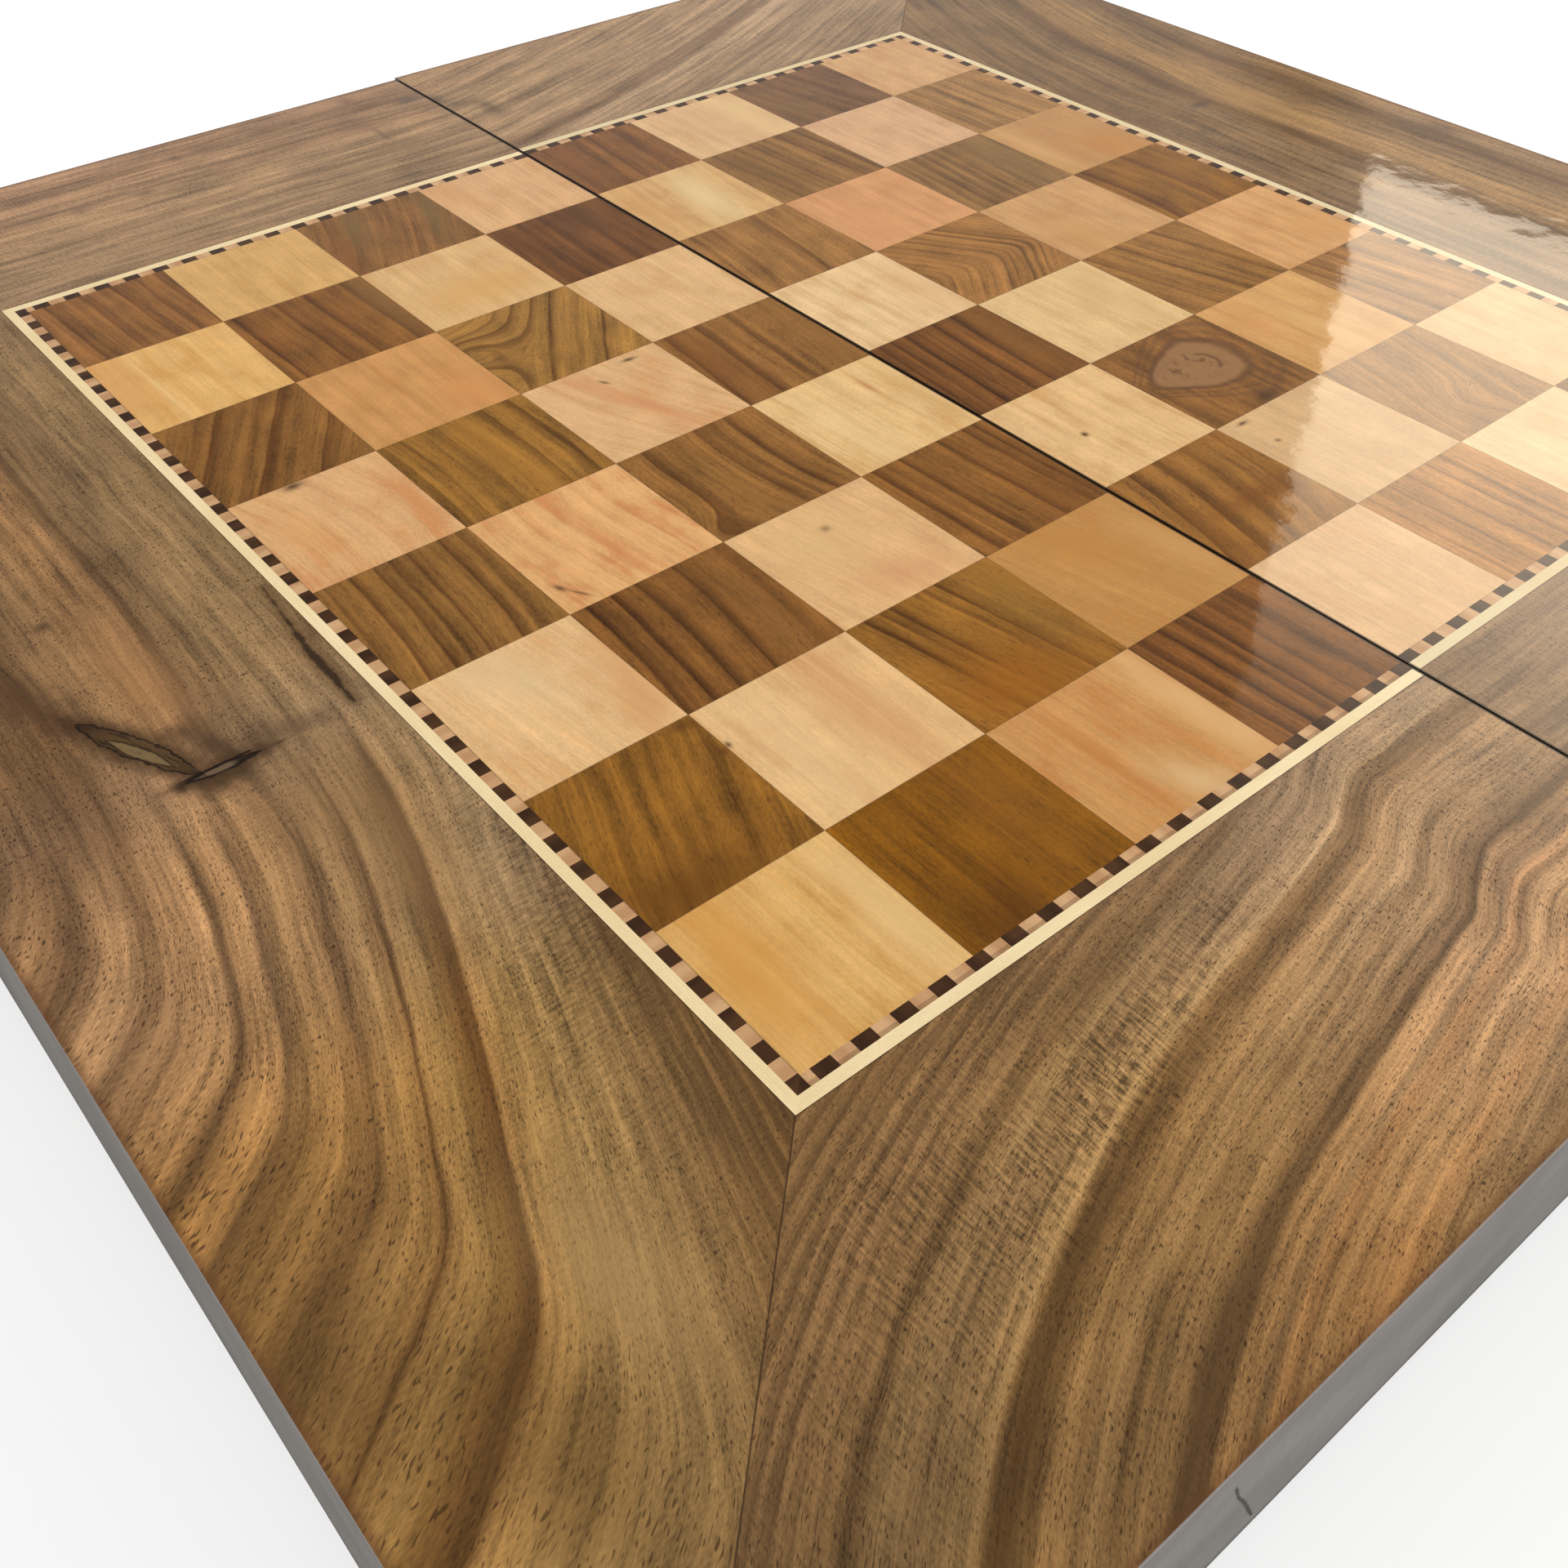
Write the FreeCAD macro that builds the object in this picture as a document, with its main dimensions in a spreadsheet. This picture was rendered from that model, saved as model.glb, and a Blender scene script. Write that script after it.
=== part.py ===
"""Folding chess board box: two shallow trays hinged at the rim under the seam, an inlaid board on top.

Frame: X runs from the a-file at -X to the h-file at +X, Y from rank 1 at -Y to rank 8 at +Y, Z is up.
The origin is on the table under the middle of the open board. The seam and the hinge pins run along X.
Each half is laid out in its own half frame, with its seam along X and its tray towards -Y. The far half
is the same layout turned half a turn about Z.
"""

import os

import FreeCAD
from FreeCAD import Placement, Rotation, Vector

DRIVING_DIMENSIONS = [
    ("square", 41.5, "pitch of the chess squares"),
    ("half_width", 247.4, "half of the board's width along the seam"),
    ("half_depth", 251.0, "from the middle of the seam to the outer edge"),
    ("seam_gap", 0.6, "open gap between the two halves"),
    ("saw_pull", 0.83, "how far each half's pattern has moved in, through the wood lost to the saw"),
    ("sideways", 0.8, "each half sits this far to its own side, so the pattern steps at the seam"),
    ("foot_height", 2.0, "rim above the table"),
    ("wall_height", 39.2, "rim to the underside of the veneer"),
    ("wall", 12.0, "wall thickness"),
    ("veneer", 0.8, "veneer thickness"),
    ("panel", 8.0, "core panel thickness"),
    ("lining", 1.0, "felt lining thickness"),
    ("banding_width", 2.8, "width of the block banding"),
    ("string_width", 2.6, "width of the pale string"),
    ("block_pitch", 8.65, "one dark and one light block"),
    ("block_dark", 4.4, "length of a dark block"),
    ("closing_gap", 0.2, "gap left between the rims when shut"),
    ("barrel_radius", 1.7, "hinge knuckle, outside"),
    ("pin_radius", 0.8, "hinge pin"),
    ("pin_clearance", 0.05, "radial running clearance of the pin"),
    ("barrel_groove", 2.0, "radius of the groove in the walls round the barrel"),
    ("leaf_length", 50.0, "hinge leaf along the seam"),
    ("leaf_reach", 10.0, "hinge leaf, from the pin's axis inwards"),
    ("leaf_start", 2.2, "where the plain edge of a leaf begins, clear of the other leaf's knuckle"),
    ("leaf_thick", 1.0, "hinge leaf thickness"),
    ("housing_end", 1.5, "where a leaf's housing in the seam wall ends, from the pin's axis"),
    ("tongue_lap", 0.5, "how far a knuckle's tongue laps onto its leaf"),
    ("tongue_end", 1.1, "where a knuckle's tongue ends inside the barrel, from the pin's axis"),
    ("bore_run", 1.0, "how far a leaf's bore runs past its ends"),
    ("knuckle_end", 12.4, "length of each near knuckle"),
    ("knuckle_play", 0.4, "gap between knuckles along the pin"),
    ("pin_length", 51.0, "hinge pin"),
    ("groove_play", 0.5, "groove in the wall past each end of the pin"),
    ("hinge_spread", 165.0, "from the middle hinge to each outer hinge"),
    ("screw_spread", 18.0, "from a leaf's middle screw to its outer screws"),
    ("screw_row", 6.2, "screws, from the pin's axis"),
    ("screw_head", 2.3, "countersunk head radius"),
    ("screw_shank", 1.1, "shank radius"),
    ("screw_hole", 1.15, "pilot hole radius"),
    ("screw_length", 8.0, "whole screw"),
    ("screw_play", 0.05, "gap round a screw's head"),
    ("pilot_play", 0.2, "pilot hole past the screw's tip"),
    ("slot_width", 0.6, "screwdriver slot"),
    ("slot_depth", 0.4, "screwdriver slot"),
    ("magnet_radius", 4.0, "closing magnet"),
    ("magnet_depth", 3.0, "closing magnet"),
    ("magnet_spread", 120.0, "magnets, from the middle of the rim"),
    ("foot_radius", 5.0, "bumper foot at the rim"),
    ("foot_tip", 4.3, "bumper foot at the table"),
    ("near_foot_spread", 185.0, "near feet, from the middle"),
    ("far_foot_spread", 215.0, "far feet, from the middle"),
    ("dimple_radius", 5.8, "dimple that takes the other half's foot"),
    ("dimple_depth", 2.3, "dimple that takes the other half's foot"),
]

# Heights that many pieces share, as formulas of the driving dimensions.
DERIVED_DIMENSIONS = [
    ("rim_height", "=foot_height"),
    ("wall_top", "=rim_height + wall_height"),
    ("pin_axis", "=rim_height - closing_gap / 2"),
    ("field_side", "=4 * square - banding_width"),
    ("field_front", "=field_side - saw_pull"),
    ("banding_side", "=4 * square"),
    ("banding_front", "=banding_side - saw_pull"),
    ("string_side", "=banding_side + string_width"),
    ("string_front", "=banding_front + string_width"),
    ("seam_face", "=seam_gap / 2"),
]

HALVES = {
    "near": {"turn": 0, "sign": "", "feet": "near_foot_spread", "dimples": "far_foot_spread"},
    "far": {"turn": 180, "sign": "-", "feet": "far_foot_spread", "dimples": "near_foot_spread"},
}
FILES = 8
RANKS_IN_HALF = 4
HINGES = {"left": "-hinge_spread", "middle": "0", "right": "hinge_spread"}
BOTH_SIDES = ("-", "")
SHORTEST_BLOCK = 0.3  # a shorter piece than this isn't laid at the end of a run of banding

doc = FreeCAD.newDocument("ChessBoardBox")
sheet = doc.addObject("Spreadsheet::Sheet", "Sheet")
nodes = []


def fill_sheet():
    """Write every dimension with its alias and its meaning, one row each."""
    row = 0
    for alias, value, meaning in DRIVING_DIMENSIONS:
        row += 1
        sheet.set(f"A{row}", alias)
        sheet.set(f"B{row}", str(value))
        sheet.setAlias(f"B{row}", alias)
        sheet.set(f"C{row}", meaning)
    for alias, formula in DERIVED_DIMENSIONS:
        row += 1
        sheet.set(f"A{row}", alias)
        sheet.set(f"B{row}", formula)
        sheet.setAlias(f"B{row}", alias)
    doc.recompute()


def size(alias):
    return float(sheet.get(alias))


ALIASES = [entry[0] for entry in DRIVING_DIMENSIONS + DERIVED_DIMENSIONS]


def on_sheet(formula):
    """Turn a formula of aliases, such as 'square * 2', into one that reads the sheet's cells."""
    words = formula.replace("(", " ( ").replace(")", " ) ").replace("-", " - ").split()
    return " ".join(f"Sheet.{word}" if word in ALIASES else word for word in words)


def bind(thing, **formulas):
    for name, formula in formulas.items():
        thing.setExpression(name, on_sheet(formula))


def place(thing, half, x, y, z, yaw=0, tilt=None):
    """Put a solid at x, y, z of a half's own frame. The half's turn and sideways step are added here."""
    turn = Rotation(Vector(0, 0, 1), HALVES[half]["turn"] + yaw)
    thing.Placement = Placement(Vector(), turn * tilt if tilt else turn)
    sign = HALVES[half]["sign"]
    thing.setExpression("Placement.Base.x", on_sheet(f"{sign} ( {x} ) + {sign} sideways"))
    thing.setExpression("Placement.Base.y", on_sheet(f"{sign} ( {y} )"))
    thing.setExpression("Placement.Base.z", on_sheet(z))


def box(name, half, x, y, z, length, width, height):
    solid = doc.addObject("Part::Box", name)
    bind(solid, Length=length, Width=width, Height=height)
    place(solid, half, x, y, z)
    return solid


def cylinder(name, half, x, y, z, radius, height, tilt=None):
    solid = doc.addObject("Part::Cylinder", name)
    bind(solid, Radius=radius, Height=height)
    place(solid, half, x, y, z, 0, tilt)
    return solid


def cone(name, half, x, y, z, low_radius, high_radius, height):
    solid = doc.addObject("Part::Cone", name)
    bind(solid, Radius1=low_radius, Radius2=high_radius, Height=height)
    place(solid, half, x, y, z)
    return solid


ALONG_X = Rotation(Vector(0, 1, 0), 90)


def rod(name, half, x, radius, length):
    """A cylinder along X on the pin's axis, from x onwards."""
    return cylinder(name, half, x, "0", "pin_axis", radius, length, ALONG_X)


def cut(name, base, tools):
    result = doc.addObject("Part::Cut", name)
    result.Base = base
    result.Tool = fuse(name + "_tools", tools)
    return result


def fuse(name, solids):
    if len(solids) == 1:
        return solids[0]
    result = doc.addObject("Part::MultiFuse", name)
    result.Shapes = solids
    return result


def group(name, solids):
    result = doc.addObject("Part::Compound", name)
    result.Links = solids
    return result


def keep(label, thing):
    """Name a finished sub-part. The label is the name of its file."""
    thing.Label = label
    nodes.append(thing)


def mitred_strip(name, half, side, width, outer_x, outer_y, z, height):
    """One strip of a three-sided border. Its mitres run from the outer corner to the inner corner.

    outer_x and outer_y are the border's outer edges, and width is a pair: (side strips, outer strip).
    """
    strip = doc.addObject("Part::Wedge", name)
    side_width, outer_width = width
    inner_x = f"{outer_x} - ( {side_width} )"
    inner_y = f"{outer_y} - ( {outer_width} )"
    if side == "outer":
        ends = (f"-{outer_x}", outer_x, f"-( {inner_x} )", inner_x)
        corner, yaw, across = ("0", f"-{outer_y}"), 0, outer_width
    elif side == "right":
        ends = (f"-{outer_y}", "-seam_face", f"-( {inner_y} )", "-seam_face")
        corner, yaw, across = (outer_x, "0"), 90, side_width
    else:
        ends = ("seam_face", outer_y, "seam_face", inner_y)
        corner, yaw, across = (f"-{outer_x}", "0"), -90, side_width
    bind(strip, Xmin=ends[0], Xmax=ends[1], X2min=ends[2], X2max=ends[3])
    bind(strip, Ymin="0", Ymax=across, Zmin="0", Zmax=height, Z2min="0", Z2max=height)
    place(strip, half, corner[0], corner[1], z, yaw)
    return strip


def world_side(half, side):
    """A side's name on the whole board: the far half is turned, so its left is the board's right."""
    if half == "near" or side == "outer":
        return side
    return {"left": "right", "right": "left"}[side]


# --- tray -------------------------------------------------------------------------------------------


def outer_wall(half):
    """The wall away from the seam, with pockets in its rim for the magnets and for the other half's feet."""
    name = f"{half}_outer_wall"
    blank = mitred_strip(
        name + "_blank", half, "outer", ("wall", "wall"),
        "half_width", "half_depth", "rim_height", "wall_height",
    )
    rim_line = "-half_depth + wall / 2"
    pockets = []
    for side in BOTH_SIDES:
        magnet_x = f"{side} magnet_spread"
        pockets.append(
            cylinder(
                name + "_magnet_pocket", half, magnet_x, rim_line,
                "rim_height", "magnet_radius", "magnet_depth",
            )
        )
        dimple_x = f"{side} {HALVES[half]['dimples']} - 2 * sideways"
        pockets.append(
            cylinder(
                name + "_dimple", half, dimple_x, rim_line,
                "rim_height", "dimple_radius", "dimple_depth",
            )
        )
    keep(name, cut(name + "_cut", blank, pockets))


def side_walls(half):
    for side in ("left", "right"):
        label = f"{half}_{world_side(half, side)}_wall"
        wall = mitred_strip(
            label, half, side, ("wall", "wall"), "half_width", "half_depth", "rim_height", "wall_height"
        )
        keep(label, wall)


def hinge_x(half, where):
    """A hinge's middle in a half's own frame. All hinges are centred on the board, not on the half."""
    sign = HALVES[half]["sign"]
    return f"{sign} ( {HINGES[where]} ) - sideways"


def seam_wall(half):
    """The wall along the seam, let in between the side walls and housed for three hinges."""
    name = f"{half}_seam_wall"
    blank = box(
        name + "_blank", half, "-half_width + wall", "-seam_face - wall", "rim_height",
        "2 * half_width - 2 * wall", "wall", "wall_height",
    )
    housings = []
    for where in HINGES:
        middle = hinge_x(half, where)
        housings.append(
            box(
                f"{name}_{where}_housing", half, f"{middle} - leaf_length / 2", "-leaf_reach", "rim_height",
                "leaf_length", "leaf_reach - housing_end", "leaf_thick",
            )
        )
        housings.append(
            rod(
                f"{name}_{where}_groove", half, f"{middle} - pin_length / 2 - groove_play",
                "barrel_groove", "pin_length + 2 * groove_play",
            )
        )
        for step in ("-1", "0", "1"):
            screw_x = f"{middle} + {step} * screw_spread"
            housings.append(
                cylinder(
                    f"{name}_{where}_pilot", half, screw_x, "-screw_row", "rim_height", "screw_hole",
                    "screw_length + pilot_play",
                )
            )
    keep(name, cut(name + "_cut", blank, housings))


def core_panel(half):
    """The panel under the veneers, between the four walls."""
    inside = "2 * half_width - 2 * wall"
    depth = "half_depth - seam_face - 2 * wall"
    panel = box(
        f"{half}_core_panel", half, "-half_width + wall", "-half_depth + wall", "wall_top - panel",
        inside, depth, "panel",
    )
    keep(f"{half}_core_panel", panel)
    lining = box(
        f"{half}_felt_lining", half, "-half_width + wall", "-half_depth + wall", "wall_top - panel - lining",
        inside, depth, "lining",
    )
    keep(f"{half}_felt_lining", lining)


# --- inlaid board -----------------------------------------------------------------------------------


def frame_veneers(half):
    """Three mitred walnut strips, from the string out to the edge of the box, over the walls."""
    widths = ("half_width - string_side", "half_depth - string_front")
    for side in ("outer", "left", "right"):
        label = f"{half}_{world_side(half, side)}_frame_veneer"
        strip = mitred_strip(label, half, side, widths, "half_width", "half_depth", "wall_top", "veneer")
        keep(label, strip)


def pale_string(half):
    widths = ("string_width", "string_width")
    strips = [
        mitred_strip(
            f"{half}_{side}_string", half, side, widths, "string_side", "string_front", "wall_top", "veneer"
        )
        for side in ("outer", "left", "right")
    ]
    keep(f"{half}_pale_string", group(f"{half}_string_group", strips))


def banding_blocks(half):
    """Little end-grain blocks, dark and light in turn, laid inside the string on three sides."""
    pitch = size("block_pitch")
    dark_length = size("block_dark")
    blocks = {"dark": [], "light": []}

    def run(place_block, start, end):
        """Fill the stretch from start to end, and trim the last block to it."""
        at, shade = start, "dark"
        while at < end - SHORTEST_BLOCK:
            whole = dark_length if shade == "dark" else pitch - dark_length
            length = min(whole, end - at)
            place_block(shade, at, length)
            at += length
            shade = "light" if shade == "dark" else "dark"

    def across(shade, at, length):
        name = f"{half}_{shade}_block"
        blocks[shade].append(
            box(
                name, half, f"{at:.3f}", "-banding_front", "wall_top",
                f"{length:.3f}", "banding_width", "veneer",
            )
        )

    run(across, -size("banding_side"), size("banding_side"))
    for edge in ("-banding_side", "banding_side - banding_width"):

        def along(shade, at, length, edge=edge):
            name = f"{half}_{shade}_block"
            blocks[shade].append(
                box(
                    name, half, edge, f"{-at - length:.3f}", "wall_top",
                    "banding_width", f"{length:.3f}", "veneer",
                )
            )

        run(along, size("seam_face"), size("banding_front") - size("banding_width"))
    for shade, solids in blocks.items():
        keep(f"{half}_banding_{shade}_blocks", group(f"{half}_banding_{shade}", solids))


def squares(half):
    """Thirty-two veneer squares. The banding trims the outermost ones, and the saw the row at the seam."""
    file_lines = ["-field_side"] + [f"{step} * square" for step in range(-3, 4)] + ["field_side"]
    rank_lines = ["field_front"] + [f"{step} * square - saw_pull" for step in (3, 2, 1)] + ["seam_face"]
    for row in range(RANKS_IN_HALF):
        rank = row + 1 if half == "near" else 2 * RANKS_IN_HALF - row
        shades = {"dark": [], "light": []}
        for column in range(FILES):
            shade = "dark" if (row + column) % 2 == 0 else "light"
            low_x, high_x = file_lines[column], file_lines[column + 1]
            low_y, high_y = rank_lines[row], rank_lines[row + 1]
            shades[shade].append(
                box(
                    f"rank_{rank}_{shade}_square", half, low_x, f"-( {low_y} )", "wall_top",
                    f"( {high_x} ) - ( {low_x} )", f"( {low_y} ) - ( {high_y} )", "veneer",
                )
            )
        for shade, solids in shades.items():
            keep(f"rank_{rank}_{shade}_squares", group(f"rank_{rank}_{shade}", solids))


# --- hardware ---------------------------------------------------------------------------------------


def hinge_leaf(half, where):
    """A brass leaf let in flush with the rim. The near leaf has the end knuckles, the far leaf the middle
    one."""
    name = f"{where}_hinge_{half}_leaf"
    middle = hinge_x(half, where)
    start = f"{middle} - leaf_length / 2"
    gap_from_end = "knuckle_end + knuckle_play"
    if half == "near":
        knuckles = [(start, "knuckle_end"), (f"{middle} + leaf_length / 2 - knuckle_end", "knuckle_end")]
    else:
        knuckles = [(f"{start} + {gap_from_end}", f"leaf_length - 2 * ( {gap_from_end} )")]
    plate = box(
        name + "_plate", half, start, "-leaf_reach", "rim_height",
        "leaf_length", "leaf_reach - leaf_start", "leaf_thick",
    )
    solids = [plate]
    for knuckle_start, knuckle_length in knuckles:
        solids.append(rod(name + "_knuckle", half, knuckle_start, "barrel_radius", knuckle_length))
        solids.append(
            box(
                name + "_tongue", half, knuckle_start, "-leaf_start - tongue_lap", "rim_height",
                knuckle_length, "leaf_start + tongue_lap - tongue_end", "leaf_thick",
            )
        )
    bore = rod(
        name + "_bore", half, f"{start} - bore_run",
        "pin_radius + pin_clearance", "leaf_length + 2 * bore_run",
    )
    holes = [bore]
    for step in ("-1", "0", "1"):
        holes.append(
            cone(
                name + "_countersink", half, f"{middle} + {step} * screw_spread", "-screw_row", "rim_height",
                "screw_head", "screw_hole", "leaf_thick",
            )
        )
    keep(name, cut(name + "_cut", fuse(name + "_solid", solids), holes))


def hinge_pin(where):
    """The pin is held by the near leaf's knuckles and runs in the far leaf's."""
    name = f"{where}_hinge_pin"
    keep(name, rod(name, "near", f"{hinge_x('near', where)} - pin_length / 2", "pin_radius", "pin_length"))


def hinge_screws(half):
    """Countersunk screws, head flush with the leaf, with a plain slot."""
    screws = []
    for where in HINGES:
        for step in ("-1", "0", "1"):
            name = f"{half}_{where}_screw"
            screw_x = f"{hinge_x(half, where)} + {step} * screw_spread"
            head = cone(
                name + "_head", half, screw_x, "-screw_row", "rim_height",
                "screw_head - screw_play", "screw_shank", "leaf_thick",
            )
            shank = cylinder(
                name + "_shank", half, screw_x, "-screw_row", "rim_height", "screw_shank", "screw_length"
            )
            slot = box(
                name + "_slot", half, f"{screw_x} - screw_head", "-screw_row - slot_width / 2", "rim_height",
                "2 * screw_head", "slot_width", "slot_depth",
            )
            screws.append(cut(name, fuse(name + "_solid", [head, shank]), [slot]))
    keep(f"{half}_hinge_screws", group(f"{half}_screw_group", screws))


def closing_magnets(half):
    rim_line = "-half_depth + wall / 2"
    discs = [
        cylinder(
            f"{half}_magnet", half, f"{side} magnet_spread", rim_line,
            "rim_height", "magnet_radius", "magnet_depth",
        )
        for side in BOTH_SIDES
    ]
    keep(f"{half}_closing_magnets", group(f"{half}_magnet_group", discs))


def bumper_feet(half):
    rim_line = "-half_depth + wall / 2"
    spread = HALVES[half]["feet"]
    feet = [
        cone(
            f"{half}_foot", half, f"{side} {spread}", rim_line, "0",
            "foot_tip", "foot_radius", "foot_height",
        )
        for side in BOTH_SIDES
    ]
    keep(f"{half}_bumper_feet", group(f"{half}_foot_group", feet))


# --- assembly ---------------------------------------------------------------------------------------


def check_and_write():
    """Stop on any failed object or bad shape, and only then write one file for each sub-part."""
    doc.recompute()
    for thing in doc.Objects:
        if {"Invalid", "Error"} & set(thing.State):
            raise RuntimeError(f"{thing.Label} failed: {thing.State}")
    for node in nodes:
        if node.Shape.isNull() or not node.Shape.isValid() or not node.Shape.Solids:
            raise RuntimeError(f"{node.Label} has no valid solid")
    os.makedirs("parts", exist_ok=True)
    for node in nodes:
        node.Shape.exportStep(f"parts/{node.Label}.step")
    print(len(nodes), "sub-parts written")


def build():
    fill_sheet()
    for half in HALVES:
        outer_wall(half)
        side_walls(half)
        seam_wall(half)
        core_panel(half)
        frame_veneers(half)
        pale_string(half)
        banding_blocks(half)
        squares(half)
        for where in HINGES:
            hinge_leaf(half, where)
        hinge_screws(half)
        closing_magnets(half)
        bumper_feet(half)
    for where in HINGES:
        hinge_pin(where)
    check_and_write()


build()
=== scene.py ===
"""Folding chess box, opened flat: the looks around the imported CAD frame.

Units are metres, as in the frame. The wood is worked out in millimetres of the frame, so that
the grain sizes below can be read against the board: the squares are 41.5 mm wide.
"""

import math

import bpy
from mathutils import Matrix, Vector


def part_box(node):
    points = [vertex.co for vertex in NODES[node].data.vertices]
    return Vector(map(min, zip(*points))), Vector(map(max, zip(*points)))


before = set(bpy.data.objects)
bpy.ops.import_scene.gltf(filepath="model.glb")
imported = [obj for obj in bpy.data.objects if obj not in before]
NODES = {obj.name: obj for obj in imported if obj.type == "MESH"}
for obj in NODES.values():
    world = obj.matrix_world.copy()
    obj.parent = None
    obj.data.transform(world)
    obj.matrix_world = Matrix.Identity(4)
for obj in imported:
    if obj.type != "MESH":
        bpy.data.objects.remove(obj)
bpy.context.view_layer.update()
MM = 0.001

SQUARE = 41.5  # width of a square
SHIFT = 0.8  # the near half stands this far to +X, and the far half to -X
GLUE = 0.2  # half the width of a glue line between two veneers
FILES = "abcdefgh"


def linear(rgb):
    """An sRGB colour of 0 to 255, as the numbers a shader takes."""
    parts = [c / 255 for c in rgb]
    return tuple(c / 12.92 if c <= 0.04045 else ((c + 0.055) / 1.055) ** 2.4 for c in parts)


# ---------------------------------------------------------------- shader sums


class Num:
    """A number in a shader. Sums on it add Math nodes."""

    def __init__(self, net, socket):
        self.net, self.socket = net, socket

    def __add__(self, o):
        return self.net.math("ADD", self, o)

    def __sub__(self, o):
        return self.net.math("SUBTRACT", self, o)

    def __rsub__(self, o):
        return self.net.math("SUBTRACT", o, self)

    def __mul__(self, o):
        return self.net.math("MULTIPLY", self, o)

    def __truediv__(self, o):
        return self.net.math("DIVIDE", self, o)

    def __pow__(self, o):
        return self.net.math("POWER", self, o)

    def __neg__(self):
        return self.net.math("MULTIPLY", self, -1)


class Net:
    """The node tree of one material."""

    def __init__(self, tree):
        self.tree = tree

    def new(self, kind, **props):
        node = self.tree.nodes.new("ShaderNode" + kind)
        for key, value in props.items():
            setattr(node, key, value)
        return node

    def feed(self, socket, value):
        if isinstance(value, Num):
            self.tree.links.new(value.socket, socket)
        elif isinstance(value, bpy.types.NodeSocket):
            self.tree.links.new(value, socket)
        elif isinstance(value, (tuple, list)) and len(value) == 3 and socket.type == "RGBA":
            socket.default_value = (*value, 1)
        else:
            socket.default_value = value

    def math(self, op, *values):
        node = self.new("Math", operation=op)
        for socket, value in zip(node.inputs, values):
            self.feed(socket, value)
        return Num(self, node.outputs[0])

    def least(self, a, b):
        return self.math("MINIMUM", a, b)

    def most(self, a, b):
        return self.math("MAXIMUM", a, b)

    def size(self, a):
        return self.math("ABSOLUTE", a)

    def over(self, a):
        """The part of a above 0."""
        return self.math("MAXIMUM", a, 0)

    def root(self, a):
        return self.math("SQRT", a)

    def part(self, a):
        return self.math("FRACT", a)

    def step(self, value, low, high, out_low=0, out_high=1):
        """Smooth step between low and high."""
        node = self.new("MapRange", interpolation_type="SMOOTHSTEP")
        names = ("Value", "From Min", "From Max", "To Min", "To Max")
        for name, v in zip(names, (value, low, high, out_low, out_high)):
            self.feed(node.inputs[name], v)
        return Num(self, node.outputs["Result"])

    def fall(self, value, low, high, top=1):
        """top below low, falling smoothly to 0 at high."""
        return self.step(value, low, high, top, 0)

    def hump(self, value, middle, width):
        """1 at middle, falling smoothly to 0 at width from it."""
        return self.fall(self.size(value - middle), 0, width)

    def bell(self, *terms):
        """exp(-sum of squares of the terms)."""
        total = None
        for t in terms:
            total = t * t if total is None else total + t * t
        return self.math("EXPONENT", -total)

    def vector(self, x=0, y=0, z=0):
        node = self.new("CombineXYZ")
        for socket, value in zip(node.inputs, (x, y, z)):
            self.feed(socket, value)
        return node.outputs[0]

    def noise(self, x=0, y=0, z=0, detail=2, rough=0.5, distortion=0):
        """Noise of about -1 to 1 with features about 1 long."""
        node = self.new("TexNoise", noise_dimensions="3D")
        self.feed(node.inputs["Vector"], self.vector(x, y, z))
        node.inputs["Scale"].default_value = 1
        node.inputs["Detail"].default_value = detail
        node.inputs["Roughness"].default_value = rough
        node.inputs["Distortion"].default_value = distortion
        return (Num(self, node.outputs["Fac"]) - 0.5) * 3

    def ramp(self, value, stops, how="LINEAR"):
        """stops: (place from 0 to 1, (r, g, b) as the shader takes them, alpha)."""
        node = self.new("ValToRGB")
        node.color_ramp.interpolation = how
        elements = node.color_ramp.elements
        while len(elements) < len(stops):
            elements.new(0.5)
        while len(elements) > len(stops):
            elements.remove(elements[-1])
        for i, (place, rgb, alpha) in enumerate(stops):
            elements[i].position = place
        for element, (place, rgb, alpha) in zip(elements, stops):
            element.color = (*rgb, alpha)
        self.feed(node.inputs["Fac"], value)
        return node

    def bands(self, value, looks):
        """Colour along value, from (value, sRGB colour) pairs in rising order."""
        low, high = looks[0][0], looks[-1][0]
        stops = [((v - low) / (high - low), linear(c), 1) for v, c in looks]
        return self.ramp((value - low) / (high - low), stops).outputs["Color"]

    def split(self, color):
        node = self.new("SeparateColor")
        self.feed(node.inputs[0], color)
        return [Num(self, s) for s in node.outputs]

    def mix(self, fac, a, b, how="MIX"):
        node = self.new("Mix", data_type="RGBA", blend_type=how)
        node.clamp_factor = True
        self.feed(node.inputs["Factor"], fac)
        self.feed(node.inputs[6], a)
        self.feed(node.inputs[7], b)
        return node.outputs[2]

    def stain(self, color, much, rgb):
        """color taken towards an sRGB colour."""
        return self.mix(much, color, linear(rgb))

    def gain(self, color, amount):
        """color times a number."""
        node = self.new("VectorMath", operation="SCALE")
        self.feed(node.inputs[0], color)
        self.feed(node.inputs["Scale"], amount)
        return node.outputs[0]

    def place(self):
        """X, Y and Z of the frame in millimetres. They ride with the body."""
        coord = self.new("TexCoord")
        cut = self.new("SeparateXYZ")
        self.feed(cut.inputs[0], coord.outputs["Object"])
        return [Num(self, s) * 1000 for s in cut.outputs]

    def bump(self, height):
        """Relief, from its height in millimetres."""
        node = self.new("Bump")
        node.inputs["Strength"].default_value = 1
        node.inputs["Distance"].default_value = MM
        self.feed(node.inputs["Height"], height)
        return node.outputs["Normal"]


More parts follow.
